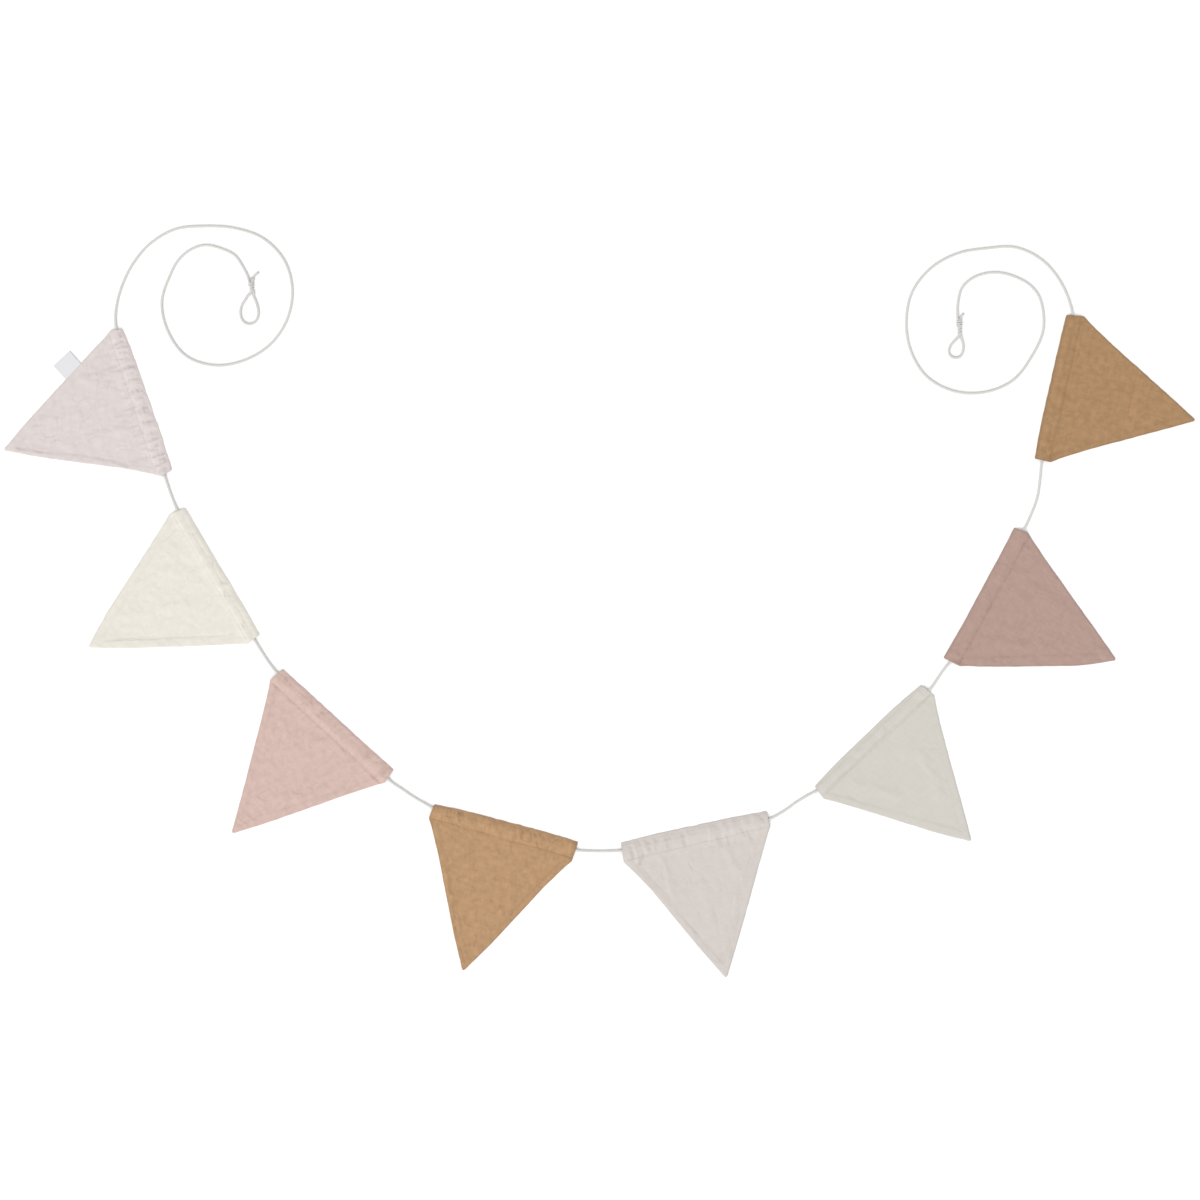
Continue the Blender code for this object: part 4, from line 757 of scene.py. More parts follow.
    def placed(self, along, drop, z):
        """Places in the garland's frame."""
        angle = math.radians(self.row["heading"])
        x = self.row["fold_x"] + along * math.cos(angle) + drop * math.sin(angle)
        y = self.row["fold_y"] + along * math.sin(angle) - drop * math.cos(angle)
        return np.stack(np.broadcast_arrays(x, y, z), axis=-1)


def column_shares(width):
    """Where the columns stand across rows of these widths, close together at the ends.

    The outer columns keep their own distances from the ends, which shrink with the
    width of a short row, and the inner ones share what is left.
    """
    near = np.array(EDGE_STEPS)
    width = np.asarray(width)[:, None]
    close = np.minimum(1.0, width / (5.5 * near[-1]))
    first = near[None, :] * close
    inner = np.linspace(0, 1, INNER_COLUMNS + 2)[None, 1:-1]
    between = first[:, -1:] + (width - 2 * first[:, -1:]) * inner
    return np.concatenate([first, between, width - first[:, ::-1]], axis=1) / width


def row_shares(cloth):
    """The casing's rows from the base, and the field's from the shoulders, from 0 to 1."""
    depth = (cloth.row["start_depth"] + cloth.row["end_depth"]) / 2
    steps = [s for s in EDGE_STEPS if s < 2.0]
    casing = np.concatenate([steps, np.arange(2.2, depth - 0.5, CASING_STEP), [depth]]) / depth
    length = cloth.tip[1] - depth
    near = np.arange(NEAR_STEP, NEAR_REACH, NEAR_STEP)
    far = np.arange(NEAR_REACH, length - TIP_STEPS[0] - 0.5, FIELD_STEP)
    field = np.concatenate([near, far, length - np.array(TIP_STEPS)]) / length
    return casing, field


def cloth_rows(cloth):
    """Along, drop and inset of every vertex of the upper cloth, as grids.

    Each row runs straight between the two ends that the mouths or the side seams
    give it, and bows with the base while it is in the channel. The last rows are
    drawn in to a round tip.
    """
    casing, field = row_shares(cloth)
    start = np.concatenate([cloth.mouth("start", casing), cloth.seam("start", field)])
    end = np.concatenate([cloth.mouth("end", casing), cloth.seam("end", field)])
    to_tip = (1 - field) * np.hypot(*(cloth.tip - cloth.shoulders["start"]))
    narrow = np.concatenate([np.ones(len(casing)), 0.25 + 0.75 * roll(to_tip / (1.6 * TIP_HALF))])
    from_fold = casing * (cloth.row["start_depth"] + cloth.row["end_depth"]) / 2
    corner = CORNER * (1 - roll(from_fold / CORNER))
    start[:len(casing), 0] += corner
    end[:len(casing), 0] -= corner
    middle = (start + end) / 2
    start = middle + (start - middle) * narrow[:, None]
    end = middle + (end - middle) * narrow[:, None]
    width = np.hypot(*(end - start).T)
    share = column_shares(width)
    along = start[:, :1] + (end[:, :1] - start[:, :1]) * share
    drop = start[:, 1:] + (end[:, 1:] - start[:, 1:]) * share
    fade = np.concatenate([1 - casing, np.zeros(len(field))])
    gather = 0.12 + 0.1 * cloth.channel["gather"]
    wave = gather * soft_noise(650 + cloth.number, along, 0.0 * along, 10.0) + 0.1
    drop = drop - (cloth.bow("fold", share) + wave) * fade[:, None]
    inset = np.minimum(share, 1 - share) * width[:, None]
    rows_to_tip = np.concatenate([np.full(len(casing), 99.0), to_tip])
    return casing, along, drop, inset, rows_to_tip


def make_cloth(cloth):
    """One pennant as a closed thin shell with an open channel along its base.

    The upper and the under cloth are grids that share the folded base, the side
    seams and the tip. In the channel each turns in at the mouths and runs on as its
    own inner face, and the two inner faces meet near the base and near the stitches.
    """
    casing, along, drop, inset, to_tip = cloth_rows(cloth)
    rows, columns = along.shape
    last = len(casing) - 1                      # the shoulders' row
    depth = (cloth.row["start_depth"] + cloth.row["end_depth"]) / 2
    from_fold = np.concatenate([casing * depth, np.full(rows - last - 1, 99.0)])[:, None]
    in_casing = (np.arange(rows) < last)[:, None]
    # Mouth edges are open. They close over the last stretch before the shoulders.
    near_shoulder = np.concatenate([(1 - casing) * depth, np.zeros(rows - last - 1)])[:, None]
    open_mouth = smoothstep(near_shoulder / MOUTH_CLOSING)
    open_mouth = open_mouth * roll(from_fold / MOUTH_CORNER) * in_casing
    seam_edge = roll(inset * SIDE_SLANT / SIDE_ROLL)
    under_edge = roll(inset * SIDE_SLANT / UNDER_ROLL)
    middle = EDGE_MIDDLE + 0.12 * soft_noise(500 + cloth.number, along, drop, 30.0)
    tip_edge = roll(to_tip / TIP_ROLL)[:, None]
    fold_edge = roll(from_fold / FOLD_ROLL)
    full = fold_edge * tip_edge
    upper, lower = cloth.upper(along, drop), cloth.lower(along, drop)
    edge_top = seam_edge + (1 - seam_edge) * open_mouth
    edge_low = under_edge + (1 - under_edge) * open_mouth
    lip = 0.5 * LINEN * (1 - roll(inset / LIP)) * open_mouth
    top_z = middle + (upper - middle) * full * edge_top - lip
    under_fold = roll(from_fold / UNDER_ROLL)
    low_z = middle + (lower - middle) * under_fold * tip_edge * edge_low + lip

    # The seam line is notched in between the two rolled edges.
    notch = np.zeros(columns)
    notch[0], notch[-1] = SEAM_NOTCH, -SEAM_NOTCH
    top_along = along + notch[None, :] * (1 - open_mouth) * (~in_casing)

    coarse = np.unique(np.concatenate([
        np.arange(len(EDGE_STEPS)), np.arange(len(EDGE_STEPS), columns, UNDER_STRIDE),
        columns - 1 - np.arange(len(EDGE_STEPS))]))
    grids = [np.stack([top_along, drop, top_z], axis=-1),
             np.stack([top_along, drop, low_z], axis=-1)[:, coarse]]

    # The channel's inner faces, drawn in from the base and from the stitch line.
    inner_end = np.minimum(cloth.stitch_drop(along[:1]) - STITCH_CLEAR, depth - SHOULDER_CLEAR)
    inner_end = inner_end[:, coarse]
    outer_drop = drop[:last + 1][:, coarse]
    inner_along = along[:last + 1][:, coarse]
    inner_inset = inset[:last + 1][:, coarse]
    base_drop = outer_drop[:1]
    pulled = base_drop + BASE_CLEAR + casing[:, None] * (inner_end - BASE_CLEAR)
    turned_in = smoothstep(inner_inset / TURN_IN)
    inner_drop = outer_drop + (pulled - outer_drop) * turned_in
    turn = 0.5 * LINEN * (1 + roll(inner_inset / LIP))
    mid = middle[:last + 1][:, coarse]
    ceiling = cloth.upper(inner_along, inner_drop) - turn
    floor = cloth.lower(inner_along, inner_drop) + turn
    ceiling = np.maximum(ceiling, floor + LEAST_AIR)
    closed = roll(np.minimum(casing, 1 - casing) * depth / INNER_ROLL)[:, None]
    centre = np.minimum((ceiling + floor) / 2, mid + INNER_RISE)
    ceiling = centre + (ceiling - centre) * closed
    floor = centre + (floor - centre) * closed
    grids.append(np.stack([inner_along, inner_drop, ceiling], axis=-1))
    grids.append(np.stack([inner_along, inner_drop, floor], axis=-1))

    # Number the four grids, then let them share their borders.
    index, first = [], 0
    for grid in grids:
        count = grid.shape[0] * grid.shape[1]
        index.append(first + np.arange(count).reshape(grid.shape[:2]))
        first += count
    top, low, inner_top, inner_low = index
    low[0], low[-1] = top[0, coarse], top[-1, coarse]
    low[last:, 0], low[last:, -1] = top[last:, 0], top[last:, -1]
    inner_top[:, 0], inner_top[:, -1] = top[:last + 1, 0], top[:last + 1, -1]
    inner_low[:, 0], inner_low[:, -1] = low[:last + 1, 0], low[:last + 1, -1]
    inner_low[0], inner_low[-1] = inner_top[0], inner_top[-1]

    cell = np.searchsorted(coarse, np.arange(columns - 1), side="right") - 1
    step = np.arange(columns - 1)
    corner = np.arange(len(coarse) - 1)
    strips = [
        np.stack([top[0, step], top[0, step + 1], low[1, cell]], axis=1),
        np.stack([top[0, coarse[1:]], low[1, corner + 1], low[1, corner]], axis=1),
        np.stack([low[-2, cell], top[-1, step + 1], top[-1, step]], axis=1),
        np.stack([low[-2, corner], low[-2, corner + 1], top[-1, coarse[1:]]], axis=1),
    ]
    faces = [grid_quads(top), grid_quads(low[1:-1], flip=True), grid_quads(inner_top, flip=True),
             grid_quads(inner_low)] + strips

    flat = np.concatenate([g.reshape(-1, 3) for g in grids])
    verts = cloth.placed(flat[:, 0], flat[:, 1], flat[:, 2])
    corner_uv = flat[:, :2] * MM + np.array((cloth.number * 0.3, 0.0))
    uvs = [corner_uv[f] for f in faces]
    # Painted shade: the rim mask darkens the cloth towards its outline, and the channel's inner faces
    # throughout.
    rim = np.minimum(inset, np.minimum(from_fold, to_tip[:, None]))
    rim_shade_mask = 1 - smoothstep(rim / RIM_SHADE_WIDTH)
    inner_edge = np.minimum(cloth.inset("start", flat[:, 0], flat[:, 1]),
                            cloth.inset("end", flat[:, 0], flat[:, 1]))
    # Painted shade in the hollows of the small folds, and a painted highlight on their ridges.
    hollow = np.zeros(len(flat))
    depths = -cloth.folds(along, drop, HOLLOW_WIDEST).ravel()
    hollow[:top.size] = np.clip(depths, -RIDGE_LIGHT, 1.0)
    masks = {
        "hollow": hollow,
        "rim": np.concatenate([rim_shade_mask.ravel(), rim_shade_mask[:, coarse].ravel(),
                               np.full(2 * inner_along.size, INNER_RIM_SHADE)]),
        # Painted shade along the line where the allowances end inside the cloth.
        "allowance_line_shade": np.exp(-((inner_edge - ALLOWANCE) / LAYERS_WIDTH) ** 2) * (flat[:, 1] > depth),
    }
    return mesh_object(f"pennant_cloth_{cloth.number}", verts, faces, uvs, masks)


def make_stitching(cloth):
    """The channel's row of stitches, on both faces of the cloth, as one mesh.

    A stitch is a short round bar that arches a little out of the cloth and dips
    into it at both ends. Near the ends of the row the stitches lie closer.
    """
    starts, here = [], STITCH_START
    while here < cloth.fold - STITCH_START - STITCH:
        starts.append(here)
        tacked = min(here, cloth.fold - here) < BACK_TACK
        here += (TACK_STEP if tacked else 1.0) * STITCH + STITCH_GAP * (TACK_GAP if tacked else 1.0)
    starts = np.array(starts)
    run, width, arch = (np.array(row) for row in (STITCH_RUN, STITCH_WIDTH, STITCH_ARCH))
    sides = STITCH_SIDES
    turn = math.tau * np.arange(sides) / sides
    along = starts[:, None] + run[None, :] * STITCH
    drop = cloth.stitch_drop(along) + STITCH_WANDER * (np.arange(len(starts)) % 2)[:, None]
    parts = []
    for height, outwards in ((cloth.upper, 1), (cloth.lower, -1)):
        z = height(along, drop) + outwards * arch[None, :]
        if outwards < 0:
            z = np.maximum(z, THREAD_R)
        across = drop[:, :, None] + THREAD_R * width[None, :, None] * np.cos(turn)
        up = z[:, :, None] + THREAD_R * width[None, :, None] * np.sin(turn)
        spread = np.broadcast_to(along[:, :, None], across.shape)
        verts = cloth.placed(spread, across, up).reshape(-1, 3)
        block = np.arange(len(run) * sides).reshape(len(run), sides)
        block = np.concatenate([block, block[:, :1]], axis=1)
        quads = grid_quads(block)
        offset = (np.arange(len(starts)) * len(run) * sides)[:, None, None]
        quads = (quads[None] + offset).reshape(-1, 4)
        fan = np.arange(1, sides - 1)
        first_cap = np.stack([np.zeros_like(fan), fan, fan + 1], axis=1)
        last_cap = np.stack([np.zeros_like(fan), fan + 1, fan], axis=1) + (len(run) - 1) * sides
        caps = (np.concatenate([first_cap, last_cap])[None] + offset).reshape(-1, 3)
        flat_uv = np.stack([spread.ravel(), across.ravel()], axis=1) * MM
        parts.append((verts, [quads, caps], [flat_uv[quads], flat_uv[caps]]))
    return mesh_object(f"stitching_{cloth.number}", *joined(parts))


def make_label(cloth):
    """The bare folded tab: a thin tape carried round its section and across its width."""
    corners = cloth.seam("start", np.array(LABEL_SEAM))
    folds = np.array(LABEL_FOLD, dtype=float)
    section = np.array(LABEL_SECTION)
    fine = np.linspace(0, len(section) - 1, 85)
    out = np.interp(fine, np.arange(len(section)), section[:, 0])
    height = np.interp(fine, np.arange(len(section)), section[:, 1])
    kernel = np.ones(7) / 7
    out[3:-3] = np.convolve(out, kernel, "valid")
    height[3:-3] = np.convolve(height, kernel, "valid")
    length = np.hypot(*(folds[0] - corners[0]))
    tangent = np.stack([np.gradient(out) * length, np.gradient(height)], axis=1)
    tangent /= np.linalg.norm(tangent, axis=1, keepdims=True)
    normal = np.stack([-tangent[:, 1], tangent[:, 0]], axis=1)
    outer = np.stack([out * length, height], axis=1) - normal * LABEL_TAPE / 2
    inner = np.stack([out * length, height], axis=1) + normal * LABEL_TAPE / 2
    ring = np.concatenate([outer, inner[::-1]])
    across = np.linspace(0, 1, 40)
    seam = corners[0] + (corners[1] - corners[0]) * across[:, None]
    fold = folds[0] + (folds[1] - folds[0]) * across[:, None]
    away = (fold - seam) / length
    place = seam[:, None, :] + away[:, None, :] * ring[None, :, :1]
    curl = LABEL_CURL * np.sin(across * 5.0)[:, None] * smoothstep(ring[None, :, 0] / length)
    z = np.maximum(ring[None, :, 1] + curl * (ring[None, :, 1] > 0.6), 0.03)
    verts = cloth.placed(place[..., 0], place[..., 1], z).reshape(-1, 3)
    count = len(ring)
    index = np.arange(len(across) * count).reshape(len(across), count)
    looped = np.concatenate([index, index[:, :1]], axis=1)
    half = count // 2
    first, second = index[:, :half], index[:, half:][:, ::-1]
    caps = []
    for end, flip in ((0, True), (-1, False)):
        caps.append(grid_quads(np.stack([first[end], second[end]]), flip=flip))
    faces = [grid_quads(looped)] + caps
    turned = np.concatenate([np.cumsum(np.full(half, 0.5)), np.cumsum(np.full(half, 0.5))[::-1]])
    width = np.hypot(*(corners[1] - corners[0]))
    flat = np.stack(np.broadcast_arrays(turned[None, :], across[:, None] * width), axis=-1) * MM
    uvs = [flat.reshape(-1, 2)[f] for f in faces]
    return mesh_object("label_tape", verts, faces, uvs)


# Cord shapes

def cord_height(rise):
    """Height of the cord's middle: 0 lies on the surface, 1 is inside a channel."""
    return REST_Z + (CHANNEL_Z - REST_Z) * rise


def smooth_route(points):
    """A smooth line through the places of a route, one place every CORD_STEP.

    It is a centripetal Catmull-Rom curve: each leg bends by its neighbours, with the
    square roots of the legs' lengths as its knots. The curve is read closely and
    then again at even distances.
    """
    points = np.asarray(points, dtype=float)
    ends = np.vstack([2 * points[0] - points[1], points, 2 * points[-1] - points[-2]])
    p0, p1, p2, p3 = (ends[i:len(ends) - 3 + i, None, :] for i in range(4))
    t1 = np.linalg.norm(p1 - p0, axis=-1, keepdims=True) ** 0.5
    t2 = t1 + np.linalg.norm(p2 - p1, axis=-1, keepdims=True) ** 0.5
    t3 = t2 + np.linalg.norm(p3 - p2, axis=-1, keepdims=True) ** 0.5
    share = np.linspace(0, 1, 24, endpoint=False)[None, :, None]
    t = t1 + (t2 - t1) * share
    a1 = p0 + (p1 - p0) * t / t1
    a2 = p1 + (p2 - p1) * (t - t1) / (t2 - t1)
    a3 = p2 + (p3 - p2) * (t - t2) / (t3 - t2)
    b1 = a1 + (a2 - a1) * t / t2
    b2 = a2 + (a3 - a2) * (t - t1) / (t3 - t1)
    close = (b1 + (b2 - b1) * (t - t1) / (t2 - t1)).reshape(-1, 3)
    close = np.vstack([close, points[-1:]])
    close[:, 2] = np.maximum(close[:, 2], REST_Z)
    distance = np.concatenate([[0.0], np.cumsum(np.linalg.norm(np.diff(close, axis=0), axis=1))])
    even = np.linspace(0, distance[-1], int(distance[-1] / CORD_STEP) + 1)
    return np.stack([np.interp(even, distance, close[:, i]) for i in range(3)], axis=1)


def lying(points):
    """Route points with their height worked out in millimetres."""
    return [(x, y, cord_height(rise)) for x, y, rise in points]


def station(number, share):
    """The cord's place inside a pennant's channel."""
    cloth = CLOTHS[number - 1]
    along = np.array(cloth.fold * share)
    return tuple(cloth.placed(along, cloth.cord_drop(along), CHANNEL_Z))


def knot_frame(end):
    """A knot's row, the way down it, and the way across it."""
    row = row_of(KNOT_COLUMNS, KNOTS[end])
    angle = math.radians(row["heading"])
    down = np.array((math.cos(angle), math.sin(angle), 0.0))
    across = np.array((-math.sin(angle), math.cos(angle), 0.0))
    return row, np.array((row["x"], row["y"], 0.0)), down, across


def strand_lead(end, face, side):
    """The place just off a knot's face where one of its two strands runs straight."""
    row, origin, down, across = knot_frame(end)
    out = -1.5 if face == "upper" else row["length"] + 1.5
    place = origin + down * out + across * side * STRAND_APART
    return (place[0], place[1], cord_height(STRAND_HEIGHT))


def twisted_strand(end, side):
    """One strand down through a knot: a helix about the knot's middle line."""
    row, origin, down, across = knot_frame(end)
    t = np.linspace(0.04, 0.96, 4 * row["half_turns"] + 1)[:, None]
    turn = math.pi * row["half_turns"] * t + (0.0 if side > 0 else math.pi)
    up = np.array((0.0, 0.0, 1.0))
    middle = origin + down * row["length"] * t + up * KNOT_Z
    return [tuple(p) for p in middle + (across * np.cos(turn) + up * 0.92 * np.sin(turn)) * TWIST_R]


def tail_route(end, entry, tail, loop, cut_end):
    """A whole free end: from the channel to the knot, down through it, round the
    loop, back up through the knot and out to the cut end."""
    crossing = 1 if row_of(KNOT_COLUMNS, KNOTS[end])["half_turns"] % 2 else -1
    down = twisted_strand(end, -1)
    back_up = twisted_strand(end, 1)[::-1]
    around = lying(loop) if crossing < 0 else lying(loop)[::-1]
    route = [entry] + lying(tail) + [strand_lead(end, "upper", -1)] + down
    route += [strand_lead(end, "lower", crossing)] + around + [strand_lead(end, "lower", -crossing)]
    route += back_up + [strand_lead(end, "upper", 1)] + lying(cut_end)
    return smooth_route(route)


def plait(turn, distance):
    """Relief of a plaited cord: raised lobes in a chequer round it and along it."""
    across = np.cos(PLAIT_LOBES * turn)
    along = np.cos(math.tau * distance / PLAIT_PITCH)
    return PLAIT_RELIEF * across * along


def squeezed_radius(line, end):
    """The cord's radius along its line: a little less inside its knot."""
    row, origin, down, across = knot_frame(end)
    away = line - origin
    down_it = away @ down
    inside = (down_it > -0.5) & (down_it < row["length"] + 0.5) & (np.abs(away @ across) < 4)
    kernel = np.ones(9) / 9
    share = np.convolve(inside.astype(float), kernel, "same")
    return CORD_R + (STRAND_R - CORD_R) * share


def make_cord(name, line, radius):
    """A length of cord as a plaited tube."""
    return mesh_object(name, *tube(line, radius, CORD_SIDES, plait))


def wrap_line(centre, axis, across, run, turns, radii):
    """Binding turns: a helix about an axis, whose ends tuck in under the others."""
    t = np.linspace(0, 1, int(34 * turns))[:, None]
    tuck = 0.62 + 0.38 * smoothstep(np.minimum(t, 1 - t) / 0.14)
    turn = math.tau * turns * t - math.pi / 2
    up = np.array((0.0, 0.0, 1.0))
    round_it = across * radii[0] * np.cos(turn) + up * radii[1] * np.sin(turn)
    return centre + axis * run * (t - 0.5) + round_it * tuck


def make_knot(end, cut_line):
    """A knot's binding turns, the small knot on the cut end, and its frayed fibres."""
    row, origin, down, across = knot_frame(end)
    first, last, turns = row["wraps"]
    centre = origin + down * (first + last) / 2 + np.array((0.0, 0.0, KNOT_Z))
    radii = (TWIST_R + STRAND_R + 0.15, TWIST_R * 0.92 + STRAND_R - 0.35)
    line = wrap_line(centre, down, across, last - first, turns, radii)
    parts = [tube(line, WRAP_R, 12, reference=tuple(down))]
    if row["lump"] is not None:
        way = cut_line[-1] - cut_line[-12]
        way /= np.linalg.norm(way)
        spot = origin - down * 1.5 + across * STRAND_APART - down * row["lump"]
        near = np.argmin(np.linalg.norm(cut_line[-30:, :2] - spot[:2], axis=1))
        middle = cut_line[-30:][near] + np.array((0.0, 0.0, 0.35))
        cross_way = np.cross(way, (0.0, 0.0, 1.0))
        line = wrap_line(middle, way, cross_way, 2.4, 1.7, (1.55, 1.15))
        parts.append(tube(line, 0.72, 12, reference=tuple(way)))
    parts += frayed_fibres(cut_line[-1], cut_line[-1] - cut_line[-6], 1 if end == "left" else 2)
    return mesh_object(f"knot_{end}_wraps", *joined(parts))


def frayed_fibres(place, way, seed):
    """Short loose fibres spreading from a cut end, each a thin bent hair."""
    rng = np.random.default_rng(700 + seed)
    way = way / np.linalg.norm(way)
    t = np.linspace(0, 1, 6)[:, None]
    fibres = []
    for _ in range(22):
        spread = rng.normal(0, 0.42, 3)
        spread -= way * (spread @ way)
        start = place + spread * 1.5 - way * 0.5
        bend = rng.normal(0, 0.35, 3) * t ** 2
        line = start + way * rng.uniform(1.0, 2.0) * t + spread * 0.8 * t + bend
        line[:, 2] = np.maximum(line[:, 2], 0.12)
        verts, faces, uvs = tube(line, np.linspace(0.07, 0.035, 6), 5)
        fibres.append((verts, faces, [np.zeros_like(uv) for uv in uvs]))
    return fibres


# Materials

def linear(colour):
    """Display values from 0 to 255 as linear light from 0 to 1, with an alpha of 1."""
    s = np.asarray(colour, dtype=float) / 255
    light = np.where(s <= 0.04045, s / 12.92, ((s + 0.055) / 1.055) ** 2.4)
    return tuple(float(v) for v in light) + (1.0,)


def reflecting(colour):
    """The colour that a face needs for the lights here to show it as colour."""
    return tuple(v / EXPOSURE for v in linear(colour)[:3]) + (1.0,)


def math_node(tree, operation, *values):
    """A Math node whose inputs are numbers or other nodes' outputs."""
    node = tree.nodes.new("ShaderNodeMath")
    node.operation = operation
    for socket, value in zip(node.inputs, values):
        if isinstance(value, (int, float)):
            socket.default_value = value
        else:
            tree.links.new(value, socket)
    return node.outputs[0]


def noise_at(tree, x, y, detail=2.0):
    """A plane noise whose place is given by two outputs, as a value from 0 to 1."""
    join = tree.nodes.new("ShaderNodeCombineXYZ")
    tree.links.new(x, join.inputs[0])
    tree.links.new(y, join.inputs[1])
    noise = tree.nodes.new("ShaderNodeTexNoise")
    noise.noise_dimensions = "2D"
    noise.inputs["Scale"].default_value = 1.0
    noise.inputs["Detail"].default_value = detail
    tree.links.new(join.outputs[0], noise.inputs["Vector"])
    return noise.outputs[0]


def new_group(name, inputs, outputs):
    """A shader group with float inputs and their defaults, and float outputs."""
    tree = bpy.data.node_groups.new(name, "ShaderNodeTree")
    for label, default in inputs:
        socket = tree.interface.new_socket(label, in_out="INPUT", socket_type="NodeSocketFloat")
        socket.default_value = default
    for label in outputs:
        tree.interface.new_socket(label, in_out="OUTPUT", socket_type="NodeSocketFloat")
    return tree, tree.nodes.new("NodeGroupInput"), tree.nodes.new("NodeGroupOutput")


def weave_group():
    """Plain weave. Warp and weft are the sines of the two UV directions: their
    product says which thread lies on top, and the top thread's own roundness is the
    height. Long narrow noise along each thread gives thick and thin places."""
    tree, given, result = new_group(
        "plain weave", (("Pitch", 0.00056), ("Streaks", 0.06), ("Mottle", 0.03)), ("Shade", "Height"))
    place = tree.nodes.new("ShaderNodeTexCoord")
    split = tree.nodes.new("ShaderNodeSeparateXYZ")
    tree.links.new(place.outputs["UV"], split.inputs[0])
    x, y = split.outputs[0], split.outputs[1]
    far_x, far_y = math_node(tree, "MULTIPLY", x, 140.0), math_node(tree, "MULTIPLY", y, 140.0)
    wobble = math_node(tree, "SUBTRACT", noise_at(tree, far_x, far_y), 0.5)
    wobble = math_node(tree, "MULTIPLY", wobble, 0.0009)
    threads = []
    for axis in (x, y):
        bent = math_node(tree, "ADD", axis, wobble)
        angle = math_node(tree, "MULTIPLY", math_node(tree, "DIVIDE", bent, given.outputs["Pitch"]), math.pi)
        threads.append(math_node(tree, "SINE", angle))
    warp, weft = threads
    over = math_node(tree, "MULTIPLY_ADD", math_node(tree, "MULTIPLY", warp, weft), 1.8, 0.5)
    over = math_node(tree, "MAXIMUM", math_node(tree, "MINIMUM", over, 1.0), 0.0)
    warp_round, weft_round = math_node(tree, "ABSOLUTE", warp), math_node(tree, "ABSOLUTE", weft)
    under = math_node(tree, "SUBTRACT", 1.0, over)
    height = math_node(tree, "ADD", math_node(tree, "MULTIPLY", warp_round, over),
                       math_node(tree, "MULTIPLY", weft_round, under))
    streaks = []
    for long_axis, short_axis in ((x, y), (y, x)):
        along = math_node(tree, "MULTIPLY", long_axis, 38.0)
        across = math_node(tree, "MULTIPLY", short_axis, 420.0)
        streaks.append(noise_at(tree, along, across, detail=3.0))
    streak = math_node(tree, "SUBTRACT", math_node(tree, "ADD", *streaks), 1.0)
    wide_x, wide_y = math_node(tree, "MULTIPLY", x, 160.0), math_node(tree, "MULTIPLY", y, 160.0)
    mottle = math_node(tree, "SUBTRACT", noise_at(tree, wide_x, wide_y, detail=4.0), 0.5)
    shade = math_node(tree, "ADD", math_node(tree, "MULTIPLY", streak, given.outputs["Streaks"]),
                      math_node(tree, "MULTIPLY", mottle, given.outputs["Mottle"]))
    # Painted shade: darker in the gaps between the threads, and paler on their crowns.
    thread_gap_shade = math_node(tree, "MULTIPLY", math_node(tree, "SUBTRACT", height, 0.72), 0.16)
    shade = math_node(tree, "ADD", math_node(tree, "ADD", shade, thread_gap_shade), 1.0)
    slubs = math_node(tree, "MULTIPLY_ADD", streak, 0.9, height)
    tree.links.new(shade, result.inputs["Shade"])
    tree.links.new(slubs, result.inputs["Height"])
    return tree


def plait_group():
    """The cord's plait: two sets of strands, turning opposite ways round it. The
    higher of their two waves is on top. Fine noise gives the fibres."""
    tree, given, result = new_group("cord plait", (("Pitch", 0.0027), ("Fibre", 0.05)), ("Shade", "Height"))
    place = tree.nodes.new("ShaderNodeTexCoord")
    split = tree.nodes.new("ShaderNodeSeparateXYZ")
    tree.links.new(place.outputs["UV"], split.inputs[0])
    u, v = split.outputs[0], split.outputs[1]
    around = math_node(tree, "MULTIPLY", u, math.tau * PLAIT_LOBES)
    along = math_node(tree, "MULTIPLY", math_node(tree, "DIVIDE", v, given.outputs["Pitch"]), math.tau)
    left = math_node(tree, "COSINE", math_node(tree, "ADD", around, along))
    right = math_node(tree, "COSINE", math_node(tree, "SUBTRACT", around, along))
    lobes = math_node(tree, "MAXIMUM", left, right)
    far_u, far_v = math_node(tree, "MULTIPLY", u, 60.0), math_node(tree, "MULTIPLY", v, 900.0)
    fibre = math_node(tree, "SUBTRACT", noise_at(tree, far_u, far_v, detail=3.0), 0.5)
    shade = math_node(tree, "MULTIPLY", fibre, given.outputs["Fibre"])
    # Painted shade: darker between the strands, and paler on them.
    shade = math_node(tree, "ADD", shade, math_node(tree, "MULTIPLY_ADD", lobes, 0.05, 0.97))
    height = math_node(tree, "MULTIPLY_ADD", fibre, 0.35, lobes)
    tree.links.new(shade, result.inputs["Shade"])
    tree.links.new(height, result.inputs["Height"])
    return tree


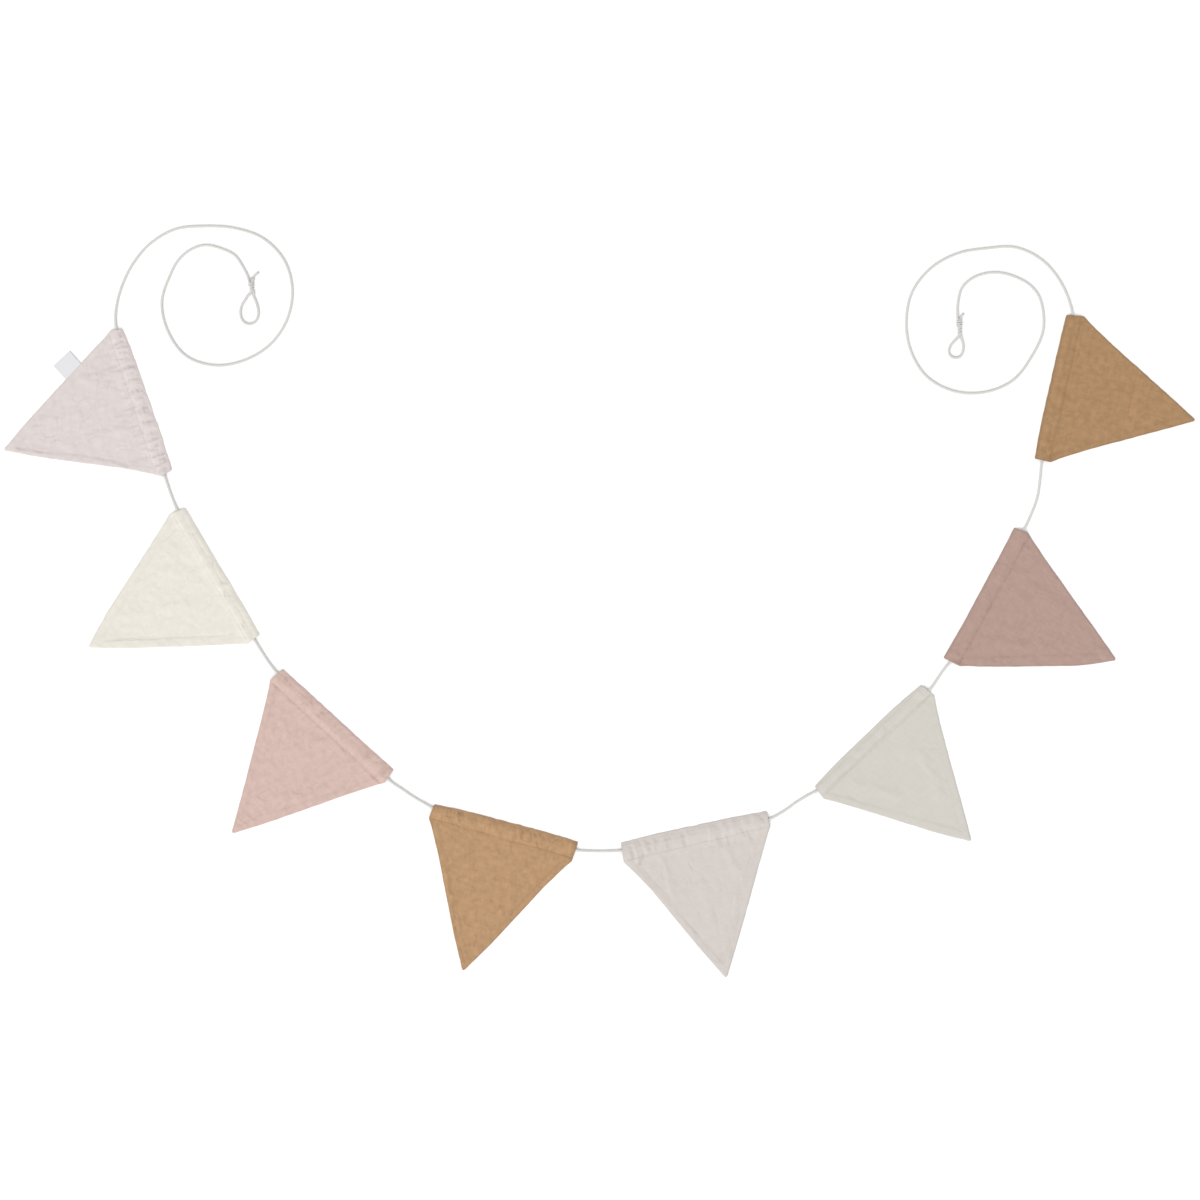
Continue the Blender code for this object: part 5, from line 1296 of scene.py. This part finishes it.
def surface_material(name, kind, colour, pattern, settings=(), masks=()):
    """A material of a kind in FINISHES, in a colour, with a pattern's group.

    Its base colour is the colour times the pattern's shade, darkened by each mask
    times that mask's depth. The pattern's height is its bump. settings, pairs of a
    name and a value, add to those of its kind.
    """
    finish = row_of(FINISH_COLUMNS, FINISHES[kind])
    material = bpy.data.materials.new(name)
    material.use_nodes = True
    tree = material.node_tree
    shader = tree.nodes["Principled BSDF"]
    shader.inputs["Roughness"].default_value = finish["roughness"]
    shader.inputs["Specular IOR Level"].default_value = 0.2
    shader.inputs["Sheen Weight"].default_value = finish["sheen"]
    shader.inputs["Sheen Roughness"].default_value = 0.55
    group = tree.nodes.new("ShaderNodeGroup")
    group.node_tree = pattern
    for label, value in (*finish["settings"].items(), *settings):
        group.inputs[label].default_value = value
    shade = group.outputs["Shade"]
    for mask, depth in masks:
        read = tree.nodes.new("ShaderNodeAttribute")
        read.attribute_name = mask
        darker = math_node(tree, "MULTIPLY_ADD", read.outputs["Fac"], -depth, 1.0)
        shade = math_node(tree, "MULTIPLY", shade, darker)
    grey = tree.nodes.new("ShaderNodeCombineColor")
    for channel in grey.inputs[:3]:
        tree.links.new(shade, channel)
    tint = tree.nodes.new("ShaderNodeMix")
    tint.data_type = "RGBA"
    tint.blend_type = "MULTIPLY"
    tint.inputs["Factor"].default_value = 1.0
    tint.inputs["A"].default_value = reflecting(colour)
    tree.links.new(grey.outputs[0], tint.inputs["B"])
    tree.links.new(tint.outputs["Result"], shader.inputs["Base Color"])
    bump = tree.nodes.new("ShaderNodeBump")
    bump.inputs["Strength"].default_value, bump.inputs["Distance"].default_value = finish["bump"]
    tree.links.new(group.outputs["Height"], bump.inputs["Height"])
    tree.links.new(bump.outputs["Normal"], shader.inputs["Normal"])
    return material


def linen_material(name, colour, weave, look):
    """Linen with painted shade: a little darker along its rolled rim, where its allowances
    end, and in the hollows of its small folds, and with a painted highlight, paler on
    their ridges."""
    settings = (("Streaks", look["streaks"]), ("Mottle", look["mottle"]))
    masks = (("rim", look["rim"]), ("allowance_line_shade", LAYERS_SHADE), ("hollow", HOLLOW_SHADE))
    return surface_material(name, "linen", colour, weave, settings, masks)


# Stage

def make_camera():
    """Straight over the garland, at the height that shows VIEW_WIDTH across."""
    data = bpy.data.cameras.new("camera")
    data.lens = LENS_MM
    data.sensor_width = SENSOR_MM
    data.clip_end = 30.0
    camera = bpy.data.objects.new("camera", data)
    camera.location = (VIEW_CENTRE[0], VIEW_CENTRE[1], VIEW_WIDTH * LENS_MM / SENSOR_MM)
    bpy.context.scene.collection.objects.link(camera)
    bpy.context.scene.camera = camera


def make_light(name, place, aim, size, power):
    """A square soft light at a place, turned towards another."""
    data = bpy.data.lights.new(name, "AREA")
    data.size = size
    data.energy = power
    light = bpy.data.objects.new(name, data)
    way = np.array(aim, dtype=float) - np.array(place, dtype=float)
    flat = math.hypot(way[0], way[1])
    light.location = place
    light.rotation_euler = (math.atan2(flat, -way[2]), 0.0, math.atan2(-way[0], way[1]) if flat else 0.0)
    bpy.context.scene.collection.objects.link(light)


def make_stage():
    """A plain pale floor, one large soft light overhead and an even pale sky."""
    corners = np.array([(-4000, -4000, 0), (4000, -4000, 0), (4000, 4000, 0), (-4000, 4000, 0)])
    floor = mesh_object("floor", corners, [np.array([[0, 1, 2, 3]])])
    material = bpy.data.materials.new("floor")
    material.use_nodes = True
    shader = material.node_tree.nodes["Principled BSDF"]
    shader.inputs["Base Color"].default_value = linear(FLOOR_COLOUR)
    shader.inputs["Roughness"].default_value = 0.9
    shader.inputs["Specular IOR Level"].default_value = 0.1
    floor.data.materials.append(material)
    world = bpy.data.worlds.new("sky")
    world.use_nodes = True
    world.node_tree.nodes["Background"].inputs["Color"].default_value = (1, 1, 1, 1)
    world.node_tree.nodes["Background"].inputs["Strength"].default_value = SKY
    bpy.context.scene.world = world
    bpy.context.scene.view_settings.view_transform = "Standard"
    make_light("key", KEY_PLACE, (0, 0, 0), KEY_SIZE, KEY_POWER)


CLOTHS = [Cloth(number) for number in range(1, len(PENNANTS) + 1)]


def make_cords(cord_finish):
    """The three lengths of cord, from the left free end to the right one."""
    first = station(1, CHANNEL_STATIONS[0])
    last = station(len(PENNANTS), CHANNEL_STATIONS[-1])
    left_line = tail_route("left", first, LEFT_TAIL[::-1], LEFT_LOOP, LEFT_CUT_END)
    right_line = tail_route("right", last, RIGHT_TAIL, RIGHT_LOOP, RIGHT_CUT_END)
    middle = []
    for number in range(1, len(PENNANTS) + 1):
        middle += [station(number, share) for share in CHANNEL_STATIONS]
        if number <= len(GAPS):
            middle += lying(GAPS[number - 1])
    middle_line = smooth_route(middle)[1:-1]
    made = {}
    for end, line, node in (("left", left_line, "tail_left"), ("right", right_line, "tail_right")):
        cord = make_cord(f"cord_tail_{end}", line, squeezed_radius(line, end))
        knot = make_knot(end, line)
        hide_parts(node, f"loop_{end}", f"cut_end_{end}")
        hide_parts(f"knot_{end}")
        made[end] = (cord, knot, line)
    shown = middle_line[:, 2] < CHANNEL_Z - 0.02
    kept = shown | (np.arange(len(middle_line)) % HIDDEN_STRIDE == 0)
    cord = make_cord("cord_through_pennants", middle_line[kept], CORD_R)
    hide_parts("cord_middle")
    for piece in (cord, *made["left"][:2], *made["right"][:2]):
        piece.data.materials.append(cord_finish)
        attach(piece, "root")
    for end, exit_place in (("left", left_line[0]), ("right", right_line[0])):
        tail, knot, line = made[end]


def make_pennants(woven, plaited):
    """The eight pennants with their stitching, and the tab in the first one's seam."""
    for cloth, (slot, colour) in zip(CLOTHS, LINEN_COLOURS.items()):
        piece = make_cloth(cloth)
        piece.data.materials.append(linen_material(slot, colour, woven, cloth.look))
        stitching = make_stitching(cloth)
        thread = surface_material(slot.replace("linen", "thread"), "thread", colour, plaited)
        stitching.data.materials.append(thread)
        if cloth.number == 1:
            label = make_label(cloth)
            label.data.materials.append(surface_material("label_tape", "tape", TAPE_COLOUR, woven))
            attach(label, "root")
            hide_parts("label")
        for thing in (piece, stitching):
            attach(thing, "root")
        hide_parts(f"pennant_{cloth.number}")


make_camera()
plaited = plait_group()
woven = weave_group()
make_cords(surface_material("cord_cotton", "cord", CORD_COLOUR, plaited))
make_pennants(woven, plaited)
make_stage()
